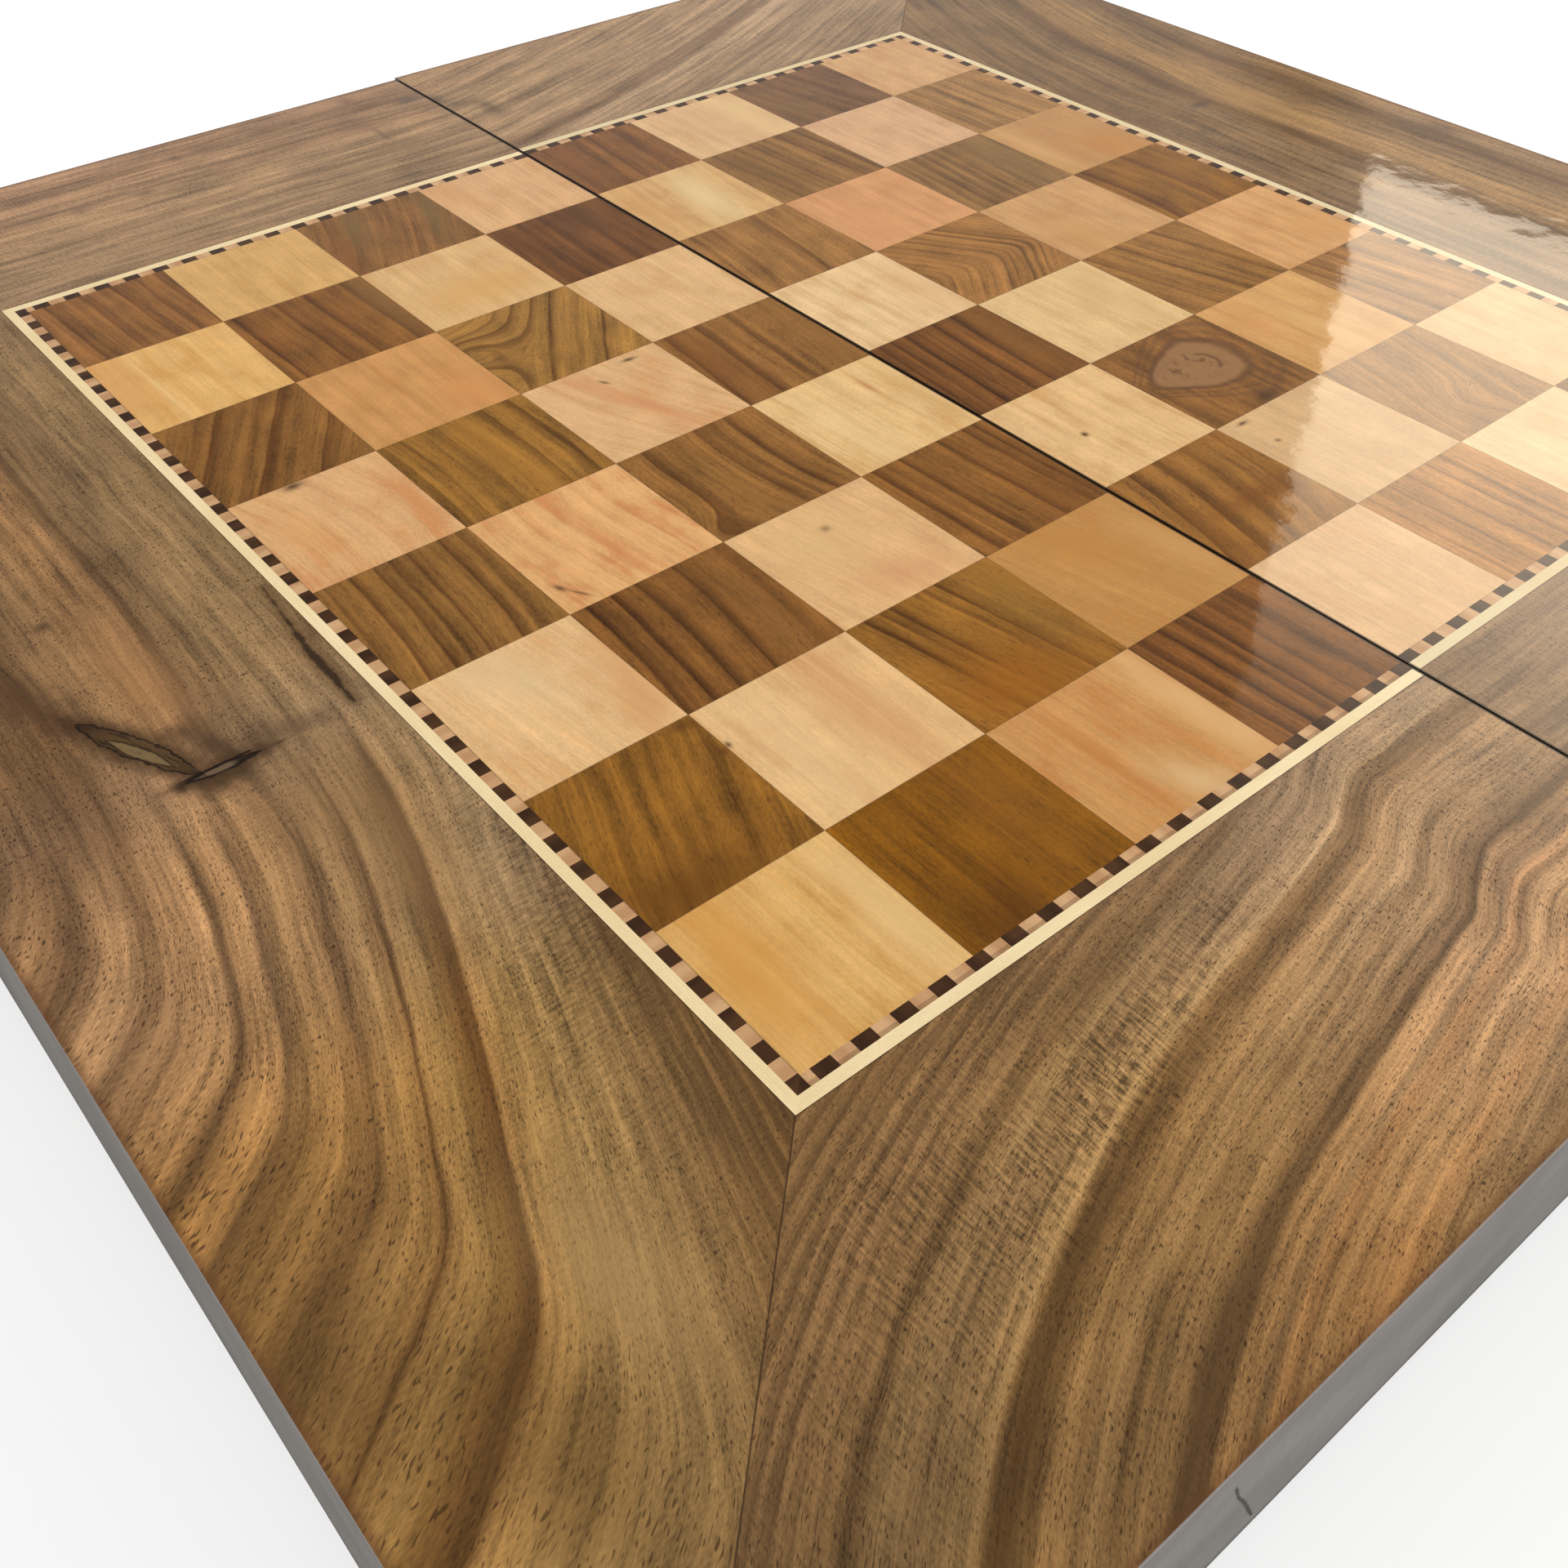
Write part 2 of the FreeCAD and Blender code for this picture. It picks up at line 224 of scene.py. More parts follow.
def material(name, paint, **shader):
    """A material whose paint(net) gives Base Color, Roughness, Normal and Coat Normal. shader holds
    the numbers that are the same all over."""
    m = bpy.data.materials.new(name)
    m.use_nodes = True
    net = Net(m.node_tree)
    bsdf = m.node_tree.nodes["Principled BSDF"]
    for key, value in (*shader.items(), *paint(net).items()):
        net.feed(bsdf.inputs[key.replace("_", " ")], value)
    return m


def bare_material(name, shader):
    """A material made of the shader that shader(net) gives."""
    m = bpy.data.materials.new(name)
    m.use_nodes = True
    m.node_tree.nodes.clear()
    net = Net(m.node_tree)
    net.feed(net.new("OutputMaterial").inputs["Surface"], shader(net))
    return m


LACQUER = dict(IOR=1.5, Specular_IOR_Level=0.12, Coat_Weight=0.6, Coat_Roughness=0.04, Coat_IOR=1.5)


def surface(net, color, rise, relief, smooth, rough):
    """A surface that is matter where rise, of about -1 to 1, is high."""
    roughness = net.step(rise, -1, 1, smooth, rough)
    return dict(Base_Color=color, Roughness=roughness, Normal=net.bump(relief))


def lacquered(net, color, fibre, relief, place, smooth=0.42, rough=0.56):
    """Lacquered wood, under the slight orange peel of the spray."""
    x, y, z = place
    wide = net.noise(x / 9, y / 9, z / 9, detail=1)
    fine = net.noise(x / 1.7, y / 1.7, z / 1.7, detail=1)
    coat = net.bump(wide * 0.018 + fine * 0.002)
    return dict(surface(net, color, fibre, relief, smooth, rough), Coat_Normal=coat)


def handled_edge(net, color, y):
    """Painted shade on the wood beside the gap where the two halves meet."""
    return net.stain(color, net.fall(net.size(y), 0.55, 0.85, 0.9), (34, 21, 12))


# ---------------------------------------------------------------- the squares


def look(base, line, lines, slope=0, bend=0, peak=(0, 0), knot=(0, 0, 5, 0), eye=None, spots=(),
         soft=3.2, tone=1):
    """How one square looks, in millimetres from its middle.

    lines  the dark growth lines, as (height at the middle, strength)
    slope  their rise to the right, and bend how far they drop at the square's sides
    peak   (u, rise) folds them over u
    knot   (u, v, reach, height) pushes them up round a point
    eye    (u, v, half width, half height) is a branch's rings
    spots  soft patches: (colour, strength, u, v, half length, half width, tilt or nothing)
    soft   how far a line fades above its sharp lower side; a negative one fades below it
    tone   how strong the broad streaks are
    """
    spots = [(*spot, 0)[:7] for spot in spots]
    return dict(base=base, line=line, lines=lines, slope=slope, bend=bend, peak=peak, knot=knot,
                eye=eye, spots=spots, soft=soft, tone=tone)


def even(strength, *heights):
    """Growth lines of one strength."""
    return [(height, strength) for height in heights]


SPECK = (74, 48, 28)  # a pin knot
LOOKS = {
    # rank 1
    "a1": look((146, 104, 64), (98, 64, 34), [(17.6, 0.7), (11.6, 0.5), (5, 0.9), (-4.1, 0.7), (-13.8, 1)],
        0.07),
    "b1": look((229, 184, 116), (216, 160, 88), [(12, 0.4), (4, 0.4), (-5, 0.5), (-13, 0.6)],
        spots=[((222, 162, 98), 0.7, -8, -16, 22, 6), ((240, 204, 142), 0.8, 4, -8.4, 22, 0.5, 0.03)]),
    "c1": look((142, 103, 58), (92, 58, 22), [(15, 0.9), (1.5, 1), (-3, 0.4), (-12.5, 0.9), (-17, 0.5)],
        -0.62, soft=5.5),
    "d1": look((222, 176, 124), (212, 150, 96), [(14, 0.4), (3, 0.4), (-8, 0.5)], 0.12, bend=2,
        spots=[((214, 146, 92), 0.7, 4, 16, 14, 2.6, -0.12), ((220, 160, 100), 0.6, 2, -10, 12, 5, 0.2),
        (SPECK, 0.9, -19.6, -3.5, 1.6, 2.6)]),
    "e1": look((143, 106, 60), (88, 56, 28), [(15.2, 0.6), (10.6, 0.9), (2.6, 0.8), (-1.6, 0.7),
        (-5.6, 0.9), (-12, 0.9), (-18, 0.5)], -0.09, bend=0.8, soft=2.6),
    "f1": look((230, 190, 138), (222, 172, 116), [(8, 0.4), (-4, 0.4), (-13, 0.5)], 0.1,
        spots=[((216, 162, 108), 0.8, 8, 16, 20, 5, -0.25), ((234, 204, 158), 0.6, -12, -2, 14, 10, 0.3)]),
    "g1": look((143, 102, 42), (112, 76, 26), even(0.4, 12, 0, -12), -0.35, tone=1.2,
        spots=[((108, 70, 18), 0.75, 17, -8, 11, 16, 0.3), ((90, 58, 26), 0.7, -19, 16, 2, 3.4, 0.9),
        ((96, 62, 30), 0.7, -8, 18, 1.2, 0.9)]),
    "h1": look((224, 180, 114), (208, 156, 84), [(10, 0.5), (5, 0.5), (-1, 0.5), (-9, 0.5), (-15, 0.4)],
        0.04, spots=[((214, 154, 72), 0.75, -6, -12, 26, 8, -0.1), ((234, 200, 142), 0.6, 2, 15, 22, 5)]),
    # rank 2
    "a2": look((217, 173, 110), (204, 158, 92), even(0.4, 12, 2, -9)),
    "b2": look((140, 98, 54), (92, 56, 28), [(14.9, 0.8), (3.6, 0.8), (-1.5, 0.35), (-5.2, 0.95),
        (-17.5, 1)], 0.04, spots=[((132, 104, 70), 0.7, -4, 18, 22, 3.5)]),
    "c2": look((208, 154, 94), (196, 140, 80), even(0.4, 10, -2, -12),
        spots=[((216, 148, 88), 0.6, 12, 12, 10, 8)]),
    "d2": look((156, 116, 58), (106, 74, 30), [(17.6, 0.9), (9.5, 0.85), (-3.5, 0.85), (-7.5, 0.35),
        (-13, 0.7), (-18, 0.6)], bend=0.8, soft=-4, spots=[((168, 124, 58), 0.6, 0, 2, 24, 4)]),
    "e2": look((226, 176, 118), (212, 146, 92), [(12, 0.3), (6, 0.4), (1, 0.5), (-2, 0.5), (-8, 0.35),
        (-15, 0.35)], 0.03, peak=(-10, 0.1), tone=1.3, spots=[((208, 134, 84), 0.6, 4, 0.8, 14, 1.4, 0.08),
        (SPECK, 0.85, 11.5, -17.2, 1.6, 0.8, 0.3), (SPECK, 0.7, 16, -14.5, 2.4, 0.5, 0.6)]),
    "f2": look((132, 92, 48), (76, 46, 20), [(17, 0.45), (5.2, 0.9), (-4.7, 0.9), (-11.4, 1), (-17.6, 1)],
        -0.1, bend=1, soft=4, spots=[((142, 104, 62), 0.5, 2, 12, 22, 4, -0.1)]),
    "g2": look((228, 188, 134), (216, 166, 112), [(16, 0.3), (9, 0.6), (5.5, 0.5), (-10, 0.25)],
        spots=[((216, 164, 112), 0.7, 0, 7, 30, 7), ((238, 202, 152), 0.5, 0, -10, 26, 7),
        (SPECK, 0.85, -8.8, -20, 1, 0.7)]),
    "h2": look((136, 92, 14), (110, 68, 12), [(15, 0.3), (4.7, 0.5), (-6, 0.3)],
        spots=[((98, 60, 8), 0.75, 16, -9, 12, 9, -0.2), ((148, 100, 36), 0.5, -8, 10, 16, 8)]),
    # rank 3
    "a3": look((140, 102, 64), (106, 72, 42), [(7.6, 0.8), (-8, 0.4), (-17, 0.6)], -0.36, bend=1, soft=2.6,
        spots=[((126, 104, 70), 0.8, -2, 16, 20, 3.4, -0.25), ((126, 104, 72), 0.8, -8, -7, 16, 4, -0.3),
        ((138, 92, 56), 0.6, 8, -17, 22, 3, -0.25)]),
    "b3": look((222, 182, 128), (212, 166, 108), even(0.35, 11, 0, -12),
        spots=[((218, 168, 96), 0.7, 7, 2, 8, 16)]),
    "c3": look((162, 124, 70), (88, 56, 24), [(16, 0.95), (9, 0.3), (2.2, 0.9), (-3.2, 0.85), (-8.3, 0.95),
        (-12.5, 0.5)], -0.62, knot=(-5, -24, 14, 20), soft=2.4,
        spots=[((120, 86, 52), 0.75, 2.4, -15, 3.2, 2), ((116, 82, 48), 0.75, 16, -15, 3.2, 2),
        ((134, 100, 56), 0.6, 11, -3, 5, 3.4)]),
    "d3": look((222, 180, 130), (214, 160, 108), [(14, 0.3), (8, 0.35), (0, 0.4), (-9, 0.35)], 0.32,
        bend=-1.5, spots=[((214, 148, 98), 0.75, 2, 0, 24, 3.2, 0.36),
        (SPECK, 0.9, -17.5, 10.5, 0.8, 2.2, 0.5), (SPECK, 0.8, -12, -1.2, 1.3, 0.6, 0.4)]),
    "e3": look((148, 108, 62), (92, 58, 26), [(11.2, 0.95), (6, 0.3), (1.8, 0.85), (-13.5, 0.9)], 0.04,
        bend=-1.6, knot=(18, -20, 8, 7), soft=4.5, spots=[((110, 76, 42), 0.8, 18.5, -17, 2.2, 2.6),
        ((140, 104, 58), 0.4, 0, -6, 24, 4)]),
    "f3": look((222, 180, 128), (214, 162, 110), even(0.3, 12, 0, -12), 0.15,
        spots=[((220, 158, 112), 0.5, 14, 4, 7, 11, 0.3), (SPECK, 1, -10.1, 0.3, 1.2, 1.2),
        ((228, 190, 134), 0.5, -8, -4, 12, 12)]),
    "g3": look((148, 106, 46), (78, 46, 12), [(8, 0.95), (4.5, 0.5), (-4.7, 0.95), (-7.4, 0.5), (-12, 1),
        (-17, 0.3)], 0.17, soft=3, spots=[((160, 104, 26), 0.8, 14, -4, 12, 16, 0.2),
        ((150, 116, 60), 0.6, -8, 15, 18, 6)]),
    "h3": look((204, 152, 92), (200, 136, 74), [(8, 0.5), (1, 0.4), (-6, 0.5), (-9, 0.5), (-15, 0.3)], 0.05,
        spots=[((226, 182, 126), 0.9, 0, 17.5, 30, 4.4, 0.05), ((222, 184, 132), 0.9, 14, 1, 9, 5, 0.3),
        ((192, 122, 58), 0.5, 2, -8, 22, 1.8)]),
    # rank 4
    "a4": look((218, 174, 126), (208, 158, 106), even(0.3, 12, -1, -13),
        spots=[((212, 156, 108), 0.6, -8, -14, 14, 6, 0.3)]),
    "b4": look((117, 78, 42), (90, 58, 34), [(16, 0.3), (6, 0.4), (-3.5, 0.8), (-10, 0.4), (-17, 0.8)],
        -0.03, soft=5, spots=[((98, 66, 42), 0.8, -12, 6, 10, 8), ((134, 92, 58), 0.6, 8, 3, 12, 2.4)]),
    "c4": look((224, 184, 134), (214, 168, 112), [(13, 0.25), (2, 0.3), (-11, 0.25)]),
    "d4": look((148, 108, 64), (92, 60, 28), [(1.8, 0.7), (-8, 0.95), (-18.5, 1)], -0.07, soft=3.4,
        spots=[((130, 86, 48), 0.75, 0, -14, 26, 6), ((134, 98, 56), 0.5, 4, 16, 24, 4)]),
    "e4": look((230, 194, 138), (212, 166, 106), [(16, 0.6), (9, 0.5), (1, 0.5), (-5, 0.4), (-9, 0.4),
        (-16, 0.3)], 0.05, spots=[((196, 140, 88), 0.8, -10, 8.6, 7, 1),
        ((236, 206, 152), 0.6, 6, -8, 22, 5, 0.05), ((214, 176, 118), 0.5, 0, 17, 26, 2.4)]),
    "f4": look((142, 100, 52), (84, 50, 18), [(17, 0.8), (13.4, 0.9), (5.4, 0.8), (-7.3, 0.95), (-12, 0.3),
        (-16.2, 0.95)], 0.05, soft=3.6, spots=[((122, 78, 32), 0.5, 14, 10, 14, 8)]),
    "g4": look((190, 140, 78), (192, 136, 72), even(0.4, 12, 0, -11), 0.2, tone=1.1,
        spots=[((196, 138, 68), 0.6, -10, -2, 14, 8, 0.3), ((214, 166, 106), 0.5, 4, 16, 18, 5, 0.1)]),
    "h4": look((130, 87, 46), (66, 38, 16), [(11, 0.45), (5, 0.4), (-1.4, 0.95), (-5, 0.4), (-10.2, 0.9),
        (-16, 0.9)], 0.05, soft=3.2),
    # rank 5
    "a5": look((128, 89, 52), (98, 64, 38), [(10.4, 0.7), (1, 0.8), (-8, 0.4), (-12, 0.5), (-16, 0.5)],
        -0.06, soft=4, spots=[((142, 96, 62), 0.6, -4, -12, 22, 4, -0.12)]),
    "b5": look((214, 172, 116), (196, 146, 90), [(16, 0.3), (-12, 0.4)], -0.1,
        spots=[((228, 202, 150), 0.95, 2, 4.5, 22, 6.4, -0.12),
        ((204, 152, 92), 0.5, -4, -14, 22, 6, -0.1)]),
    "c5": look((159, 119, 75), (112, 76, 42), [(6, 0.85), (3.5, 0.3), (-10, 0.75), (-17, 0.4)], -0.12,
        bend=0.4, soft=-5),
    "d5": look((231, 197, 149), (216, 172, 120), [(12, 0.25), (-1, 0.25), (-13, 0.3)],
        spots=[((218, 172, 124), 0.5, 4, 14, 20, 6)]),
    "e5": look((126, 85, 44), (72, 42, 20), [(8.1, 0.95), (1.2, 0.8), (-5, 0.4), (-8.8, 1), (-13.8, 0.7),
        (-18, 0.8)], -0.06, soft=3.4, spots=[((136, 96, 50), 0.7, 0, 15, 24, 5, -0.05)]),
    "f5": look((228, 189, 136), (212, 166, 108), [(12, 0.25), (2, 0.3), (-10, 0.25)], 0.03,
        spots=[(SPECK, 1, 1.8, -6.4, 1.1, 0.9), ((204, 154, 96), 0.5, -4, -4, 5, 2)]),
    "g5": look((150, 108, 56), (96, 60, 18), [(14, 0.5), (3, 0.6), (-6.5, 0.9), (-15, 0.9)], -0.22,
        bend=1.2, soft=5, spots=[((122, 76, 26), 0.75, 4, 6, 4, 14, 0.8),
        ((140, 94, 36), 0.5, 12, -14, 14, 5)]),
    "h5": look((224, 185, 140), (224, 178, 130), even(0.25, 12, 0, -12)),
    # rank 6
    "a6": look((218, 180, 134), (208, 164, 116), [(13, 0.2), (0, 0.25), (-14, 0.3)],
        spots=[((226, 192, 138), 0.8, 0, 14, 26, 6), ((208, 170, 130), 0.5, 0, -2, 20, 7)]),
    "b6": look((146, 111, 70), (100, 68, 44), [(17.5, 0.8), (10.5, 0.95), (-0.7, 0.7), (-6, 0.4),
        (-15, 0.6)], 0.09, soft=4.4, spots=[((118, 90, 54), 0.6, -4, -12, 22, 7, 0.1)]),
    "c6": look((212, 156, 106), (200, 142, 92), even(0.3, 12, -2, -13),
        spots=[((218, 156, 110), 0.6, 6, -10, 20, 5)]),
    "d6": look((162, 120, 74), (100, 70, 38), [(18.9, 0.7), (15.3, 0.9), (10, 0.6), (6.5, 0.8), (-3, 0.4),
        (-17, 0.7), (22, 0.7)], peak=(3, -0.75), soft=2.6),
    "e6": look((224, 190, 138), (214, 176, 120), even(0.25, 12, -1, -13),
        spots=[((216, 180, 124), 0.5, -2, 12, 18, 7, 0.1)]),
    "f6": look((140, 100, 58), (92, 60, 34), [(20, 0.4)], eye=(-2.4, -1.6, 11.5, 15.5), tone=1.3,
        spots=[((76, 56, 40), 0.9, 18.6, 2, 2.6, 4)]),
    "g6": look((212, 175, 128), (214, 170, 126), even(0.25, 12, -2, -13),
        spots=[(SPECK, 0.9, -18.4, -13.5, 0.7, 1.8), (SPECK, 0.7, -8, -13, 0.6, 0.8)]),
    "h6": look((175, 130, 86), (124, 86, 54), even(0.8, 11.2, 5.5, -1.8, -9, -17.3), soft=1.8),
    # rank 7
    "a7": look((124, 92, 68), (96, 66, 48), [(16, 0.3), (6, 0.9), (-14, 0.3)], 0.18, soft=8,
        spots=[((130, 102, 72), 0.6, 6, -14, 16, 8, 0.3)]),
    "b7": look((212, 170, 130), (200, 154, 112), [(12, 0.25), (-8, 0.4), (-14, 0.3)], 0.03),
    "c7": look((140, 108, 72), (108, 78, 50), [(4, 0.3), (0.5, 0.6), (-3.4, 0.7), (-7.6, 0.7), (-12, 0.7),
        (-16, 0.6)], -0.07, soft=2.2, spots=[((134, 110, 76), 0.7, 0, 14, 24, 7)]),
    "d7": look((204, 158, 106), (192, 142, 90), even(0.3, 12, 0, -13),
        spots=[((198, 148, 84), 0.5, 12, -8, 12, 8)]),
    "e7": look((156, 116, 68), (106, 74, 38), [(12.6, 0.9), (5, 0.3), (-2, 0.9), (-14.5, 0.9)], 0.24,
        soft=4),
    "f7": look((212, 164, 104), (200, 148, 84), [(12, 0.3), (4, 0.3), (-6, 0.35)], 0.05,
        spots=[((222, 178, 116), 0.7, 0, 0, 14, 2.4, 0.08), ((210, 150, 92), 0.6, -8, -12, 14, 7)]),
    "g7": look((162, 124, 84), (132, 98, 62), [(10, 0.8), (-12, 0.7)], -0.22, knot=(10, -4, 9, 6),
        tone=0.9),
    "h7": look((234, 200, 154), (224, 184, 136), even(0.25, 12, 0, -12)),
    # rank 8
    "a8": look((206, 162, 114), (194, 146, 98), even(0.3, 12, 0, -13)),
    "b8": look((159, 124, 84), (120, 88, 56), [(15, 0.5), (5.2, 0.8), (-4, 0.8), (-11.4, 0.8),
        (-16.6, 0.5)], 0.05, soft=3.4),
    "c8": look((188, 142, 88), (188, 134, 80), even(0.3, 12, 2, -11),
        spots=[((192, 132, 66), 0.8, 12, 8, 12, 9, 0.2), ((214, 168, 110), 0.7, -2, -14, 22, 4.4)]),
    "d8": look((140, 98, 40), (98, 58, 14), [(3, 0.6), (-15.5, 1)], bend=1.2, soft=6),
    "e8": look((212, 162, 108), (200, 146, 90), even(0.3, 12, -1, -12),
        spots=[((206, 150, 84), 0.5, 12, 12, 10, 10, 0.3)]),
    "f8": look((160, 120, 78), (116, 78, 40), [(8, 0.4), (0, 0.6), (-9, 0.8), (-14, 0.7)], 0.14, soft=4),
    "g8": look((228, 188, 140), (218, 174, 124), even(0.25, 12, 0, -12)),
    "h8": look((144, 104, 64), (98, 66, 38), [(13, 0.8), (5, 0.8), (-4, 0.9), (-13, 0.8)], 0.05),
}
REACH = 32  # a square's growth lines are placed within this of its middle
SHARP = 0.5  # the width of a growth line's sharp side


def line_stops(lines, soft):
    """Strength against level, as ramp stops, for lines that fade on one side and end sharply on
    the other."""

    def strength(v):
        most = 0
        for at, amount in lines:
            t = (v - at) if soft > 0 else (at - v)
            if 0 <= t < abs(soft):
                most = max(most, amount * (1 - t / abs(soft)) ** 1.3)
            elif -SHARP < t < 0:
                most = max(most, amount * (1 + t / SHARP))
        return most

    marks = {-REACH, REACH}
    for at, _ in lines:
        for t in (0, -SHARP, abs(soft) * 0.4, abs(soft)):
            marks.add(at + (t if soft > 0 else -t))
    marks = sorted(m for m in marks if abs(m) <= REACH)
    assert len(marks) <= 32, lines  # as many as a ramp holds
    return [((m + REACH) / (2 * REACH), (strength(m),) * 3, 1) for m in marks]


FOLD = 3  # the radius at a fold's tip
SIGNED = 64  # added to numbers that may be negative, because a ramp holds none


def under_lacquer(rgb, pale):
    """The colour of the wood itself. Its lacquer greys it a little, walnut more than maple."""
    warm = (1.03, 1, 0.96) if pale else (1.06, 0.92, 0.62)
    return tuple(c * w for c, w in zip(linear(rgb), warm))


def square_paint(rank, shade):
    shift = SHIFT if rank <= 4 else -SHIFT
    low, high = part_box(f"rank_{rank}_{shade}_squares")
    middle_y = (low.y + high.y) / 2 / MM
    half_y = (high.y - low.y) / 2 / MM
    # a1 is dark, so the dark files of an odd rank are a, c, e and g
    files = [i for i in range(8) if ((i + rank) % 2 == 1) == (shade == "dark")]
    looks = [LOOKS[FILES[i] + str(rank)] for i in files]
    pale = shade == "light"

    def paint(net):
        x, y, z = net.place()
        x = x - shift
        file_place = x / (8 * SQUARE) + 0.5

        def pick(values):
            """A colour and a number that depend on the file."""
            stops = [(max(0, (i - 0.5) / 8), tuple(v[:3]), v[3]) for i, v in zip(files, values)]
            node = net.ramp(file_place, stops, "CONSTANT")
            return node.outputs["Color"], Num(net, node.outputs["Alpha"])

        def pick4(values):
            color, alpha = pick([[n + SIGNED for n in v] for v in values])
            return [n - SIGNED for n in (*net.split(color), alpha)]

        seeds = [((i * 7 + rank * 13) % 23) * 3.7 for i in files]
        base, seed = pick([(*under_lacquer(l["base"], pale), s) for l, s in zip(looks, seeds)])
        line, tone = pick([(*under_lacquer(l["line"], pale), l["tone"]) for l in looks])
        slope, bend, peak_u, peak_a = pick4([(l["slope"], l["bend"], *l["peak"]) for l in looks])
        u = (net.part(x / SQUARE + 4) - 0.5) * SQUARE
        v = y - middle_y
        # the grain's level, which is the same all along a growth line
        level = (v - slope * u) / net.root(slope * slope + 1) + bend * (u / 20) * (u / 20)
        if any(l["peak"][1] for l in looks):
            level = level - peak_a * net.root((u - peak_u) * (u - peak_u) + FOLD * FOLD)
        if any(l["knot"][3] for l in looks):
            ku, kv, reach, height = pick4([l["knot"] for l in looks])
            level = level + height * net.bell((u - ku) / reach, (v - kv) / reach)
        level = level + net.noise(u / 30, v / 16, seed, detail=1) * 0.7
        level = level + net.noise(u / 8, v / 3, seed + 5, detail=1) * 0.13
        late = None
        for i, l in zip(files, looks):
            ramp = net.ramp(level / (2 * REACH) + 0.5, line_stops(l["lines"], l["soft"]))
            here = net.math("COMPARE", u - x, -(i - 3.5) * SQUARE, 1) * net.split(ramp.outputs["Color"])[0]
            late = here if late is None else late + here
        late = late * (net.noise(u / 16, level / 4, seed + 11, detail=1) * 0.22 + 0.92)
        color = net.mix(late, base, line)
        streak = net.noise(level / 3, u / 60, seed + 9)
        fibre = net.noise(level / 0.8, u / 18, seed, rough=0.6)
        grit = net.noise(level / 0.3, u / 1.2, seed + 3, detail=1)
        cloud = net.noise(u / 12, v / 9, seed + 4, detail=3)
        if pale:
            drift = streak * 0.9 + cloud * 1.1
            color = net.mix(net.least(net.over(drift) * tone, 1), color, line)
            shade = net.over(drift * -1) * 0.14 + fibre * 0.12 + grit * 0.12
        else:
            shade = (streak * 0.44 + cloud * 0.26) * tone + fibre * 0.32 + grit * 0.28
        color = net.gain(color, shade + 1)
        for n in range(max(len(l["spots"]) for l in looks)):
            spots = [l["spots"][n] if n < len(l["spots"]) else (SPECK, 0, 0, 0, 5, 5, 0) for l in looks]
            tint, much = pick([(*under_lacquer(s[0], pale), s[1]) for s in spots])
            pu, pv, plong, pwide = pick4([s[2:6] for s in spots])
            tilt = pick4([(s[6], 0, 0, 0) for s in spots])[0] if any(s[6] for s in spots) else 0
            pu, pv = u - pu, v - pv
            pv = pv - pu * tilt
            wave = net.noise(u / 9, v / 5, seed + n, detail=3) * 0.28
            spot = net.bell(pu / plong + wave, pv / pwide + wave)
            color = net.mix(spot * much, color, tint)
        if any(l["eye"] for l in looks):
            # the rings of a small branch, narrower below than above
            eu, ev, wide, tall = pick4([l["eye"] or (200, 200, 9, 9) for l in looks])
            rise = (v - ev) / tall
            taper = net.most(net.least(rise, 0.5) * 0.48 + 0.92, 0.3)
            out = net.root(((u - eu) / (wide * taper)) ** 2 + rise ** 2)
            out = out + net.noise(u / 9, v / 9, seed + 2, detail=3) * 0.09
            color = net.stain(color, net.fall(out, 0.85, 1.05, 0.8), (160, 118, 78))
            heart = net.noise(u / 5, v / 5, seed + 12, detail=4, rough=0.65)
            heart = net.step(heart, -0.1, 0.6) * net.fall(out, 0.6, 0.9, 0.5)
            color = net.stain(color, heart, (134, 94, 60))
            dots = net.step(net.noise(u / 2.6, v / 1.9, seed + 8, detail=1), 0.25, 0.55)
            color = net.stain(color, dots * net.fall(out, 0.4, 0.7, 0.65), (106, 70, 42))
            arc = net.root(((u - eu) / 4.4) ** 2 + ((v - ev - 4.2) / 4) ** 2)
            arc = net.hump(arc, 1, 0.24) * net.step(v - ev, 4.6, 6.4) * net.fall(out, 0.9, 1.1, 0.7)
            color = net.stain(color, arc, (96, 64, 38))
            for ring, thick, dark in ((1, 0.19, 0.75), (1.32, 0.14, 0.4), (1.6, 0.16, 0.45)):
                color = net.stain(color, net.hump(out, ring, thick) * dark, (104, 70, 44))
        # pores: short dark dashes along the grain
        pore = net.noise(level / 0.38, u / 2.4, seed + 7, detail=1)
        pore = net.step(pore, 0.45, 0.8) * (0.2 if pale else 0.6)
        color = net.stain(color, pore, (190, 136, 82) if pale else (74, 46, 24))
        # glue lines at the square's sides
        side = net.most(net.size(u) - (SQUARE / 2 - GLUE), net.size(v) - (half_y - GLUE))
        glue = net.step(side, 0, 0.8 * GLUE) * (0.4 if pale else 0.6)
        color = net.stain(color, glue, (96, 62, 32))
        relief = fibre * 0.004 - pore * 0.02 - glue * 0.03
        # ranks 4 and 5 border the seam: painted shade beside the gap between the halves
        if rank in (4, 5):
            color = handled_edge(net, color, y)
        return lacquered(net, color, fibre, relief, (x, y, z))

    return paint


# ---------------------------------------------------------------- the frame veneers


